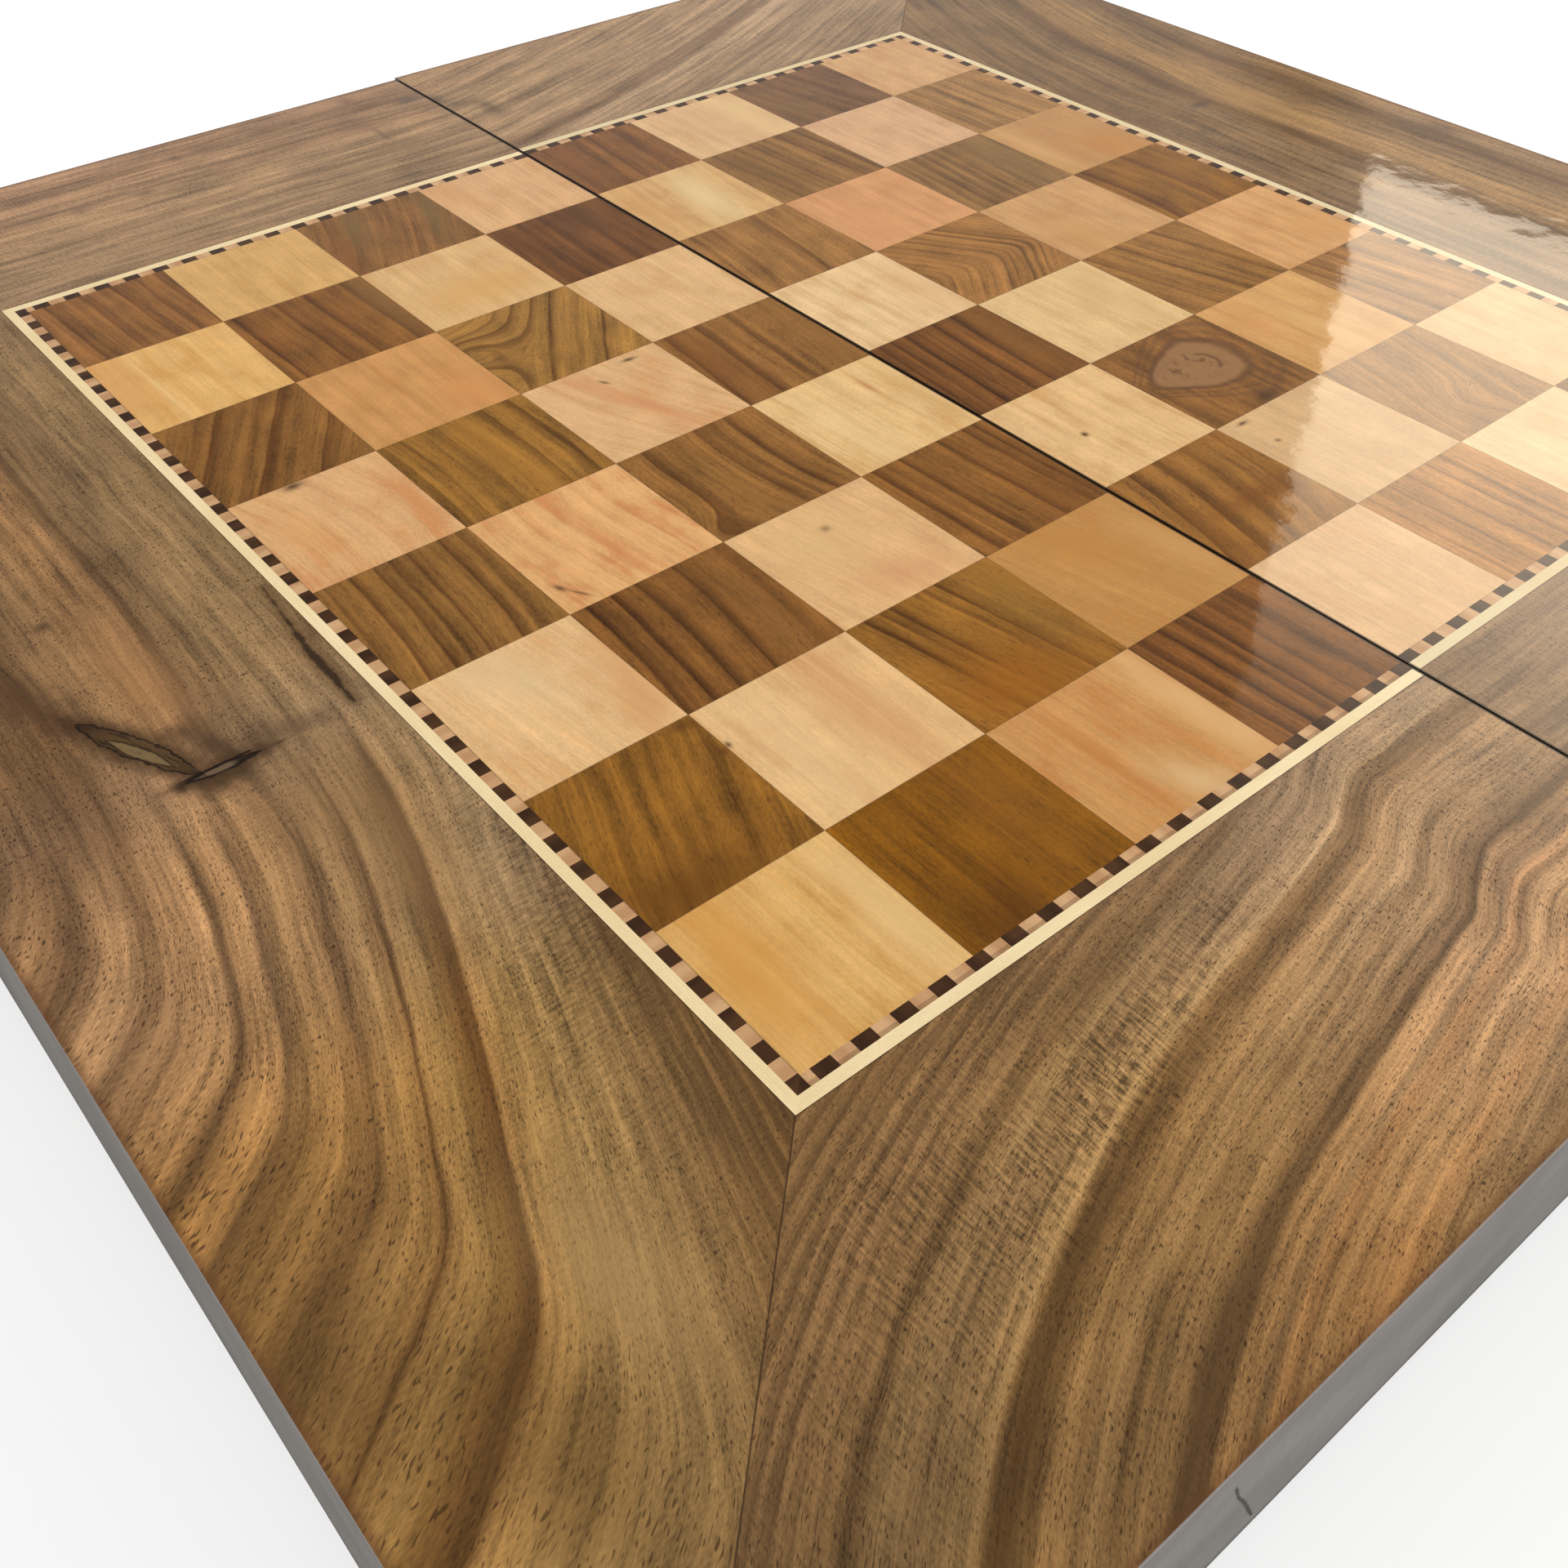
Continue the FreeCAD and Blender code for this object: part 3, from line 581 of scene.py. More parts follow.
def walnut(net, x, y, level, along, looks, seed, fiddle, pores=0.5, light=1):
    """Figured walnut. level is the same all along a growth line, along runs with the grain. looks
    are (level, colour). fiddle is the strength of the ripple across the grain, and light makes the
    whole veneer paler. Gives the colour, the fibres, the pores and the level as it wanders."""
    warp = net.noise(x / 26, y / 26, seed) * 0.55 + net.noise(x / 7, y / 7, seed, detail=1) * 0.14
    level = level + warp
    color = net.bands(level, looks)
    streak = net.noise(level / 2.4, along / 55, seed + 9, rough=0.6)
    fibre = net.noise(level / 0.8, along / 16, seed, rough=0.65)
    grit = net.noise(level / 0.26, along / 0.7, seed + 3, detail=1)
    cloud = net.noise(x / 22, y / 22, seed + 5, detail=4)
    ripple = net.noise(along / 0.62, level / 4, seed + 1)
    shade = streak * 0.56 + fibre * 0.38 + grit * 0.36 + cloud * 0.26 + ripple * (fiddle * 0.4 + 0.08)
    color = net.gain(color, net.most(shade + 1.02, 0.3) * light)
    # pores, short dark dashes along the grain, in drifts
    drift = net.noise(x / 9, y / 9, seed + 2)
    pore = net.noise(level / 0.25, along / 1.3, seed + 7, detail=0)
    pore = net.step(pore + drift * 0.3, 0.52, 0.7) * pores
    return net.stain(color, pore, (54, 34, 20)), fibre, pore, level


def patched(net, color, x, y, patches):
    """Soft patches: (x, y, half length in X, half length in Y, strength, colour)."""
    for at_x, at_y, wide, deep, much, rgb in patches:
        color = net.stain(color, net.bell((x - at_x) / wide, (y - at_y) / deep) * much, rgb)
    return color


def yearly(net, level, pitch):
    """Even fine striping: 1 in each year's dark wood."""
    ring = net.part(level / pitch)
    return net.step(ring, 0.1, 0.8) * net.fall(ring, 0.85, 1)


def yellowed(net, color, amount):
    """Walnut that light has turned yellower."""
    return net.mix(amount, color, (1, 0.92, 0.66, 1), how="MULTIPLY")


INNER_X, INNER_Y = 168.6, 167.77  # where the strips meet the string, from the middle of the field
OUTER_X, OUTER_Y = 247.4, 251  # and their outer edges


def strip(net, x, y, z, color, fibre, pore, ends, shift=SHIFT, relief=0):
    """A finished frame strip: the outer edge where the lacquer is sanded thin, the glue line to the
    string and the mitre. ends is "outer" or "side", the way the strip runs, and relief is added to
    the wood's own."""
    ax, ay = net.size(x - shift), net.size(y)
    out = ay - (OUTER_Y - 1) if ends == "outer" else ax - (OUTER_X - 1)
    wear = net.noise(x / 6, y / 6, 4) * 0.25
    color = net.stain(color, net.step(out + wear, -1, 0.8) * 0.55, (104, 66, 38))
    into = (INNER_Y + GLUE) - ay if ends == "outer" else (INNER_X + GLUE) - ax
    color = net.stain(color, net.step(into, -0.12, 0.05) * 0.6, (70, 46, 28))
    if ends == "side":
        # painted shade beside the gap between the two halves
        color = handled_edge(net, color, y)
    slant = (OUTER_X - INNER_X) / (OUTER_Y - INNER_Y)
    mitre = net.size((ax - INNER_X) - (ay - INNER_Y) * slant)
    color = net.stain(color, net.fall(mitre, 0.12, 0.3, 0.75), (60, 40, 26))
    relief = fibre * 0.005 - pore * 0.025 + relief
    return lacquered(net, color, fibre, relief, (x, y, z), rough=0.58)


def path(net, x, y, *points):
    """Distance to the line through the points."""
    away = None
    for (ax, ay), (bx, by) in zip(points, points[1:]):
        dx, dy = bx - ax, by - ay
        t = ((x - ax) * dx + (y - ay) * dy) / (dx * dx + dy * dy)
        t = net.most(net.least(t, 1), 0)
        ex, ey = x - (t * dx + ax), y - (t * dy + ay)
        here = net.root(ex * ex + ey * ey)
        away = here if away is None else net.least(away, here)
    return away


def lens(net, x, y, a, b, half):
    """How far outside a lens from a to b, half wide each way at its middle; negative inside."""
    (ax, ay), (bx, by) = a, b
    dx, dy = bx - ax, by - ay
    size = math.hypot(dx, dy)
    t = ((x - ax) * dx + (y - ay) * dy) / (size * size)
    across = ((y - ay) * dx - (x - ax) * dy) / size
    return net.size(across) - t * (1 - t) * (4 * half)


def knot(net, x, y, color):
    """The near strip's knot: a long eye rising to the right, and a cracked second eye upwards from
    its end. Gives the wood's colour with it, and its relief."""
    wob = net.noise(x / 3.2, y / 3.2, 2, detail=4, rough=0.65) * 0.9
    eye = lens(net, x, y, (8.6, -219.2), (39.4, -205.2), 2.7) + wob
    crack = lens(net, x, y, (39, -208.8), (39.5, -194.4), 1.1) + wob * 0.35
    # the dark line over the knot, fading to its left
    over = path(net, x, y, (-8, -169.8), (18, -172.2), (38, -172.7))
    over = over - net.hump(x, 22, 22) * 0.7 + wob * 0.7
    color = net.stain(color, net.fall(over, 0, 3, 0.55), (96, 68, 42))
    color = net.stain(color, net.fall(over, -0.2, 0.6, 0.85), (46, 31, 19))
    # the dark band that sweeps up to the knot, and the smudge that leaves it upwards
    cloud = net.noise(x / 8, y / 8, 5, detail=4, rough=0.6) * 2.4
    sweep = path(net, x, y, (-14, -228), (6, -220.5)) + cloud
    color = net.stain(color, net.fall(sweep, 0, 8.5, 0.72), (92, 66, 46))
    smudge = path(net, x, y, (34.5, -193), (38.5, -180)) + cloud * 1.2
    color = net.stain(color, net.fall(smudge, 0, 5, 0.5), (98, 74, 54))
    flank = path(net, x, y, (25, -203), (36, -198.5))
    flank = net.least(flank, path(net, x, y, (41.5, -206), (42.5, -199)))
    color = net.stain(color, net.fall(flank + cloud, -0.5, 6.5, 0.8), (76, 55, 36))
    # inside the eye: brown wood in thin shells, with a small pale eye of its own
    inner = lens(net, x, y, (17.4, -216), (33.2, -208.8), 1.4) + wob * 0.45
    near_knot = net.most(net.least(eye, crack), 0) + cloud * 0.25
    color = net.stain(color, net.fall(near_knot, 0, 4.4, 0.85), (74, 51, 31))
    color = net.stain(color, net.fall(eye, -1.2, 0.3), (92, 68, 40))
    shells = net.noise(eye / 0.42, x / 7, 1, detail=3)
    shells = net.step(shells, -0.05, 0.4) * net.fall(eye, -0.3, 0.5, 0.85)
    color = net.stain(color, shells, (46, 31, 19))
    tips = net.fall(x, 10, 18, 0.85) + net.step(x, 33, 38, 0, 0.7)
    color = net.stain(color, tips * net.fall(eye, -0.5, 0.3), (54, 37, 22))
    color = net.stain(color, net.fall(inner, -0.7, 0.3, 0.95), (128, 106, 72))
    streaks = net.noise(inner / 0.3, x / 4, 6)
    streaks = net.step(streaks, 0.1, 0.5) * net.fall(inner, -0.2, 0.2, 0.6)
    color = net.stain(color, streaks, (74, 56, 36))
    color = net.stain(color, net.hump(inner, 0, 0.35) * 0.8, (40, 28, 18))
    # the crack: black at its top, grey below, blacker along its left side
    color = net.stain(color, net.fall(crack, -0.4, 0.3), (110, 90, 68))
    top = net.step(y, -200.5, -198)
    color = net.stain(color, top * net.fall(crack, -0.1, 0.5, 0.9), (34, 23, 15))
    thick = net.noise(x / 4, y / 4, 15) * 0.4 + 0.5
    rim_line = net.most(net.hump(eye / thick, 0, 0.8) * 0.8, net.hump(crack / thick, 0, 1.2))
    left_side = net.hump(x - 38.2 + wob * 0.4, 0, 0.6) * net.fall(net.size(y + 202.5), 6, 8.5)
    rim_line = net.most(rim_line, left_side)
    color = net.stain(color, net.least(rim_line * 1.25, 1), (36, 24, 15))
    foot = net.bell((x - 39.5) / 2, (y + 210.2) / 1.2)
    color = net.stain(color, foot * 0.8, (44, 30, 19))
    return color, net.step(crack, -0.3, 0.5, -0.04, 0) - rim_line * 0.05


def near_outer_paint(net):
    x, y, z = net.place()
    # the grain runs along X, sinks to the right of the knot, and falls to the outer edge past a knee
    sink = net.root((x - 70) * (x - 70) + 35 * 35) + (x - 70)
    knee = x - y * 5.2 - 1301
    knee = (net.root(knee * knee + 24 * 24) + knee) * 0.5
    high_part = net.over(y + 193)
    level = y + sink * 0.2 + knee * 0.12
    level = level + high_part * high_part * net.step(x, 60, 120) * 0.012
    # and it parts round the knot
    push = net.bell((x - 28) / 20, (y + 206) / 12)
    level = level + net.math("SINE", (y + 208) / 14) * push * 5
    left = [
        (-252, (118, 90, 64)), (-232, (120, 90, 62)), (-222, (116, 86, 58)), (-217, (140, 108, 76)),
        (-211, (160, 124, 88)), (-205, (158, 120, 82)), (-199, (166, 126, 88)), (-196, (134, 102, 70)),
        (-194.5, (108, 82, 56)), (-193, (140, 110, 78)), (-189, (132, 104, 74)), (-185, (142, 114, 82)),
        (-181, (150, 120, 86)), (-177, (158, 128, 92)), (-173, (152, 122, 88)), (-168, (146, 118, 84)),
        (-150, (140, 112, 80)),
    ]
    right = [
        (-252, (124, 94, 62)), (-240, (132, 100, 68)), (-236, (160, 120, 80)), (-232.5, (112, 82, 54)),
        (-230, (160, 121, 82)), (-226.5, (176, 134, 92)), (-223, (136, 102, 68)),
        (-219, (170, 128, 86)), (-214, (186, 141, 95)), (-212, (108, 80, 52)), (-209.5, (170, 128, 84)),
        (-206.8, (182, 138, 92)), (-205.5, (112, 84, 56)), (-202, (150, 114, 74)),
        (-198, (160, 122, 80)), (-194, (126, 94, 62)), (-189, (152, 118, 78)), (-185.4, (140, 106, 68)),
        (-184.6, (86, 58, 34)), (-183.9, (158, 122, 80)), (-180, (152, 120, 78)),
        (-177.6, (128, 96, 58)), (-175.8, (106, 76, 44)), (-173.6, (98, 68, 38)),
        (-172.9, (176, 136, 90)), (-169, (160, 128, 86)), (-160, (152, 124, 88)),
        (-150, (132, 106, 76)), (-140, (118, 92, 64)), (-128, (118, 90, 60)), (-112, (112, 84, 56)),
    ]
    fiddle = net.bell((x - 95) / 60, (level + 150) / 16) * 1.5 + 0.15
    color = walnut(net, x, y, level, x, left, seed=3, fiddle=0.2, pores=0.75, light=1.1)[0]
    color_right, fibre, pore, flow = walnut(
        net, x, y, level, x, right, seed=3, fiddle=fiddle, pores=0.7, light=1.12)
    color = net.mix(net.step(x + (flow - level) * 5, 30, 70), color, color_right)
    striped = net.step(flow, -146, -134) * net.step(x, 70, 120)
    color = net.stain(color, yearly(net, flow, 3.5) * striped * 0.55, (88, 64, 42))
    color = patched(net, color, x, y, (
        (172, -205, 18, 8, 0.6, (178, 148, 112)), (192, -226, 22, 12, 0.55, (104, 78, 46)),
        (160, -247, 24, 11, 0.5, (98, 74, 42)),
        (72, -185, 30, 11, 0.5, (148, 114, 76)),  # calmer between the knot and the swept band
        (2, -203, 22, 6.5, 0.5, (176, 130, 90)),  # warm, left of the knot
    ))
    color, relief = knot(net, x, y, color)
    # broad patches, paler and darker, and yellower towards the mitre
    patches = net.bell((x - 85) / 45, (y + 211) / 15) * 0.18
    patches = patches + net.bell((x - 184) / 20, (y + 190) / 14) * 0.2
    patches = patches - net.bell((x - 130) / 28, (y + 243) / 14) * 0.22 - net.fall(x, -20, 20, 0.1)
    color = net.gain(color, patches + 1)
    color = yellowed(net, color, net.step(x, 90, 130) + net.fall(x, 10, 40, 0.5))
    # a small knot further left
    color = patched(net, color, x, y, ((-25, -212, 1.7, 1.9, 0.85, (84, 62, 42)),))
    return strip(net, x, y, z, color, fibre, pore, "outer", relief=relief)


def near_right_paint(net):
    x, y, z = net.place()
    d = -y
    far_d = net.over(d - 95)
    level = x - net.step(d, 32, 52) * 7 - net.over(d - 45) * 0.2
    level = level - far_d * far_d * ((x - 170) / 90 + 0.6) * 0.0017
    kink = net.bell((d - 27) / 9)
    level = level + kink * net.math("SINE", x / 5) * 0.8
    looks = [
        (120, (112, 86, 60)), (140, (116, 90, 64)), (150, (128, 100, 74)), (157, (120, 94, 68)),
        (160, (106, 82, 58)), (164, (134, 108, 80)), (168, (128, 102, 76)), (173, (144, 116, 86)),
        (176.3, (158, 128, 94)), (177.3, (132, 102, 70)), (179.5, (106, 80, 52)), (183, (130, 100, 68)),
        (185, (156, 122, 86)), (188, (148, 116, 82)), (191, (156, 124, 90)), (194, (136, 106, 74)),
        (196, (142, 112, 80)), (199, (150, 118, 84)), (202, (122, 94, 66)), (204.8, (100, 76, 52)),
        (206, (160, 124, 88)), (208.5, (164, 126, 90)), (210.5, (124, 98, 72)), (212, (176, 132, 92)),
        (214, (132, 100, 70)), (216, (160, 124, 88)), (221, (158, 122, 86)), (223.5, (160, 120, 82)),
        (227, (136, 106, 74)), (234, (118, 92, 62)), (252, (112, 86, 60)),
    ]
    fiddle = net.bell((y + 128) / 34, (level - 171) / 8) * 2.4 + 0.25
    fiddle = fiddle + net.bell((y + 165) / 30, (level - 156) / 10) * 1.5
    # paler along the string than at the outer edge, more so towards the mitre
    uneven = net.fall(x, 180, 215, 0.48) - net.step(x, 212, 235, 0, 0.26)
    light = net.step(d, 70, 150, 1.52, 1.1) * (net.step(d, 90, 175) * uneven + 1)
    color, fibre, pore, flow = walnut(
        net, x, y, level, y, looks, seed=17, fiddle=fiddle, pores=0.7, light=light)
    color = net.stain(color, yearly(net, flow, 2.9) * net.step(flow, 158, 150) * 0.5, (84, 62, 44))
    deep = net.step(d, 100, 160)
    color = net.stain(color, net.hump(flow, 180, 5) * deep * 0.45, (84, 62, 38))
    color = net.stain(color, net.hump(flow, 202.5, 3.4) * deep * 0.7, (82, 62, 42))
    color = patched(net, color, x, y, ((206, -17, 6, 12, 0.55, (112, 88, 62)),))
    color = patched(net, color, level, y, ((221, -120, 5, 14, 0.2, (158, 98, 52)),))
    color = yellowed(net, color, net.step(d, 50, 130))
    return strip(net, x, y, z, color, fibre, pore, "side")


def near_left_paint(net):
    x, y, z = net.place()
    level = x + net.noise(x / 40, y / 90, 6, detail=1) * 1.4
    looks = [
        (-252, (134, 102, 74)), (-244, (148, 114, 84)), (-238, (140, 106, 76)), (-233, (124, 94, 66)),
        (-229, (146, 112, 80)), (-224, (150, 116, 84)), (-221, (132, 102, 72)), (-216, (138, 106, 76)),
        (-211, (150, 118, 84)), (-206, (140, 110, 78)), (-203, (154, 122, 88)), (-198, (142, 112, 80)),
        (-196, (128, 100, 70)), (-192, (146, 116, 84)), (-188, (134, 106, 76)), (-184, (142, 114, 82)),
        (-180, (132, 104, 74)), (-176, (138, 110, 80)), (-164, (130, 102, 74)),
    ]
    light = net.step(y, -100, -40, 1.5, 1.32)
    color, fibre, pore, _ = walnut(net, x, y, level, y, looks, seed=29, fiddle=0.3, light=light)
    color = patched(net, color, x, y, (
        (-228, -6, 3.6, 8, 0.75, (84, 70, 60)), (-231, -20, 3, 7, 0.5, (106, 78, 56)),
        (-222, -32, 10, 8, 0.45, (116, 84, 60)), (-208, -27.5, 7, 1, 0.5, (104, 78, 54)),
        (-240, -23, 2.6, 3, 0.5, (112, 78, 52)), (-234, -78, 4, 7, 0.5, (110, 82, 60)),
        (-233, -88, 2.6, 2, 0.5, (96, 74, 56)), (-214, -106, 2.4, 3, 0.55, (104, 80, 60)),
        (-214, -127, 3, 2.6, 0.45, (108, 84, 64)),
    ))
    return strip(net, x, y, z, color, fibre, pore, "side")


def far_left_paint(net):
    x, y, z = net.place()
    level = x + y * 0.25 + y * y * 0.0008
    looks = [
        (-252, (142, 110, 78)), (-240, (150, 118, 84)), (-233, (132, 102, 72)), (-228, (150, 118, 86)),
        (-221, (126, 98, 68)), (-216, (148, 118, 84)), (-210, (134, 106, 74)), (-205, (150, 120, 86)),
        (-199, (130, 102, 72)), (-193, (148, 118, 86)), (-188, (134, 106, 76)), (-181, (152, 122, 90)),
        (-176, (124, 96, 68)), (-171, (110, 84, 58)), (-168, (150, 122, 92)), (-160, (146, 118, 88)),
        (-152, (128, 102, 74)), (-140, (138, 112, 82)), (-120, (126, 100, 72)), (-90, (132, 106, 78)),
    ]
    color, fibre, pore, _ = walnut(net, x, y, level, y, looks, seed=41, fiddle=0.5, pores=0.4, light=1.4)
    color = patched(net, color, x, y, (
        (-205, 12, 9, 3.4, 0.65, (86, 66, 48)), (-214, 6, 4, 6, 0.6, (84, 66, 48)),
        (-222, 1, 5, 3, 0.6, (80, 64, 50)),
    ))
    return strip(net, x, y, z, color, fibre, pore, "side", -SHIFT)


def far_outer_paint(net):
    x, y, z = net.place()
    left_d = net.over(-70 - x)
    level = y - left_d * left_d * 0.0014 - left_d * 0.05
    level = level + net.bell((x + 48) / 26) * net.math("SINE", (y - 202) / 9) * 3
    looks = [
        (160, (132, 104, 74)), (170, (126, 98, 70)), (176, (116, 90, 64)), (180, (132, 104, 74)),
        (187, (120, 92, 62)), (192, (136, 108, 76)), (197, (126, 98, 68)), (201, (112, 84, 54)),
        (205, (104, 76, 46)), (209, (138, 106, 70)), (214, (150, 116, 76)), (220, (154, 120, 80)),
        (226, (136, 106, 72)), (231, (128, 98, 66)), (236, (104, 76, 48)), (240, (116, 88, 58)),
        (245, (140, 110, 78)), (252, (132, 100, 70)),
    ]
    light = net.step(x, -95, -20, 1.04, 1.23)
    color, fibre, pore, _ = walnut(net, x, y, level, x, looks, seed=53, fiddle=0.5, pores=0.4, light=light)
    color = yellowed(net, color, net.step(x, -80, 0, 0.9, 0.2))
    color = patched(net, color, x, y, (
        (-54, 199, 2.2, 4, 0.7, (78, 60, 44)), (-38, 181, 3, 2.2, 0.5, (92, 70, 52)),
        (-44, 217, 20, 7, 0.5, (176, 136, 86)), (10, 243, 8, 6, 0.5, (92, 66, 50)),
    ))
    return strip(net, x, y, z, color, fibre, pore, "outer", -SHIFT)


def far_right_paint(net):
    x, y, z = net.place()
    rise = net.over(y - 60)
    level = x + rise * rise * 0.0006 + net.noise(x / 40, y / 90, 8, detail=1) * 1.4
    looks = [
        (164, (150, 118, 84)), (172, (142, 110, 78)), (178, (154, 122, 88)), (182, (132, 102, 72)),
        (187, (150, 118, 84)), (192, (128, 100, 70)), (196, (146, 116, 84)), (202, (120, 92, 64)),
        (208, (148, 116, 80)), (214, (168, 128, 88)), (218, (130, 100, 70)), (224, (158, 122, 84)),
        (232, (138, 106, 74)), (240, (152, 118, 82)), (262, (126, 98, 68)),
    ]
    color, fibre, pore, _ = walnut(net, x, y, level, y, looks, seed=67, fiddle=0.6)
    return strip(net, x, y, z, color, fibre, pore, "side", -SHIFT)


# ---------------------------------------------------------------- string and banding


BAND_IN, BAND_OUT = 162.6, 165.8  # how far the blocks' tips stand from the middle of the field
NEAR_STRING, FAR_STRING = 1.14, 0.95  # the far half's string has greyed


def along_and_across(net, x, y, shift):
    """Along and across the nearest side of a square ring round the field."""
    ax, ay = net.size(x - shift), net.size(y)
    corner = INNER_X - INNER_Y
    side = net.step(ax - ay, corner - 0.01, corner + 0.01)
    return side * (y - x) + x, side * (x - y) + y


def string_paint(shift):
    """The pale maple line round the field."""

    def paint(net):
        x, y, z = net.place()
        along, across = along_and_across(net, x, y, shift)
        fibre = net.noise(across / 0.35, along / 12, 3, rough=0.6)
        grit = net.noise(across / 0.25, along, 5, detail=1)
        cloud = net.noise(along / 30, across / 9, 7)
        color = net.mix(net.step(cloud, -0.5, 0.6), linear((232, 208, 160)), linear((240, 220, 176)))
        level = NEAR_STRING if shift > 0 else FAR_STRING
        color = net.gain(color, (fibre * 0.06 + grit * 0.05 + 1) * level)
        fleck = net.step(net.noise(across / 0.3, along / 1.6, 9, detail=1), 0.6, 0.9)
        # painted shade beside the gap between the two halves
        color = handled_edge(net, net.stain(color, fleck * 0.3, (176, 138, 88)), y)
        return lacquered(net, color, fibre, fibre * 0.004, (x, y, z), 0.4, 0.52)

    return paint


def block_paint(shift, tones, grain, seed):
    """The end grain blocks of the banding. Each block differs a little from the next."""

    def paint(net):
        x, y, z = net.place()
        along, across = along_and_across(net, x, y, shift)
        one = net.noise(along / 4, seed, seed, detail=0)
        color = net.mix(net.step(one, -0.5, 0.5), linear(tones[0]), linear(tones[1]))
        fibre = net.noise(across / 2, along / 0.3, seed)
        grit = net.noise(across / 0.35, along / 0.35, seed + 2, detail=1)
        color = net.gain(color, (fibre + grit) * grain + 1)
        ends = net.most(net.size(across) - BAND_OUT, BAND_IN - net.size(across))
        color = net.stain(color, net.step(ends, -0.05, 0.15) * 0.35, (60, 36, 18))
        # painted shade beside the gap between the two halves
        return lacquered(net, handled_edge(net, color, y), fibre, fibre * 0.004, (x, y, z))

    return paint


# ---------------------------------------------------------------- box, lining and hardware

WALL_TOP = 41.2  # where the veneers' edges start
WALL_THICK = 12
SKIN = 1.2  # bare wood starts this far behind the outer face
CRACK = ((-155.4, 31.5), (-153, 25), (-150, 19), (-144.6, 6.5))  # (Y, Z) on the near right wall


def wall_paint(seed, crack_at=None):
    """Sprayed grey outside, bare beech inside."""

    def paint(net):
        x, y, z = net.place()
        run = x + y  # along any wall
        brush = net.noise(run / 0.5, z / 9, seed, rough=0.6)
        spray = net.noise(x / 0.6, y / 0.6, z / 0.6, detail=1)
        cloud = net.noise(x / 30, y / 30, z / 12)
        grey = net.mix(net.step(cloud, -0.7, 0.7), linear((136, 131, 126)), linear((150, 145, 139)))
        grey = net.gain(grey, brush * 0.1 + spray * 0.12 + 1)
        # painted shade at the foot of the wall, where it meets the floor, and the veneer's edge wearing
        # through at the top
        foot = net.fall(z + brush * 0.5, 2, 5, 0.45)
        grey = net.stain(grey, foot, (58, 55, 52))
        top = net.step(z + brush * 0.25, WALL_TOP - 1.6, WALL_TOP - 0.6) * 0.55
        grey = net.stain(grey, top, (176, 170, 160))
        scuff = net.step(net.noise(run / 1.2, z / 0.18, seed + 4, detail=1), 0.85, 1.1) * 0.5
        scuff = scuff * net.step(net.noise(run / 40, z / 15, seed + 6, detail=1), 0.3, 0.6)
        grey = net.stain(grey, scuff, (84, 80, 76))
        if crack_at is not None:
            split = path(net, y, z, *crack_at) + net.noise(y / 1.5, z / 1.5, 3, detail=1) * 0.15
            grey = net.stain(grey, net.fall(split, 0.15, 0.5, 0.85), (52, 47, 43))
        # the inside, whose grain runs along each wall
        ax, ay = net.size(x), net.size(y)
        inner_x, inner_y = OUTER_X - WALL_THICK, OUTER_Y - WALL_THICK
        on_side = net.step(ax - ay * (inner_x / inner_y), -0.05, 0.05)
        on_side = on_side * net.step(ax, inner_x - 2, inner_x - 1.5)
        along = on_side * (y - x) + x
        depth = on_side * (x - y) + y
        ring = net.noise(z / 3, depth / 3, along / 90 + seed)
        fibre = net.noise(z / 0.5, depth / 0.5, along / 14 + seed, rough=0.6)
        fleck = net.step(net.noise(z / 0.35, depth / 0.35, along / 1.8 + seed, detail=1), 0.55, 0.85)
        beech = net.mix(net.step(ring, -0.6, 0.6), linear((206, 164, 120)), linear((222, 184, 140)))
        beech = net.gain(beech, fibre * 0.1 + 1)
        beech = net.stain(beech, fleck * 0.45, (150, 104, 66))
        inside = net.fall(net.most(ax - (OUTER_X - SKIN - SHIFT), ay - (OUTER_Y - SKIN)), 0, 0.1)
        color = net.mix(inside, grey, beech)
        return surface(net, color, spray, brush * 0.006 + spray * 0.006 - scuff * 0.03, 0.52, 0.68)

    return paint


def plywood_paint(net):
    """The panel under the veneers: birch plies, seen at its edges and underside."""
    x, y, z = net.place()
    ply = net.part(z / 2.6)
    cross = net.step(ply, 0.48, 0.52)
    along = cross * (y - x) + x
    across = cross * (x - y) + y
    fibre = net.noise(across / 0.7, along / 20, z / 1.3, rough=0.6)
    cloud = net.noise(across / 14, along / 60, z / 1.3)
    color = net.mix(net.step(cloud, -0.6, 0.6), linear((196, 158, 112)), linear((220, 186, 140)))
    color = net.gain(color, fibre * 0.14 + 1)
    seam = net.most(net.hump(ply, 0.5, 0.06), net.hump(ply, 0, 0.06))
    color = net.stain(color, seam * 0.6, (112, 74, 44))
    return surface(net, color, fibre, fibre * 0.02 - seam * 0.02, 0.55, 0.75)


def felt_paint(net):
    """Green felt: matted fibres, with a little nap."""
    x, y, z = net.place()
    mat_a = net.noise(x / 0.5, y / 2.4, 1, detail=3, rough=0.7, distortion=1.2)
    mat_b = net.noise(x / 2.4, y / 0.5, 8, detail=3, rough=0.7, distortion=1.2)
    nap = net.noise(x / 30, y / 30, 4, detail=3)
    fuzz = net.most(mat_a, mat_b)
    color = net.mix(net.step(nap, -0.8, 0.8), linear((22, 66, 46)), linear((32, 84, 58)))
    color = net.gain(color, net.over(fuzz) * 0.5 + 0.85)
    lint = net.step(net.noise(x / 0.9, y / 0.9, 12, distortion=2), 0.95, 1.15)
    color = net.stain(color, lint * 0.5, (120, 146, 126))
    return surface(net, color, nap, fuzz * 0.12, 0.88, 0.98)


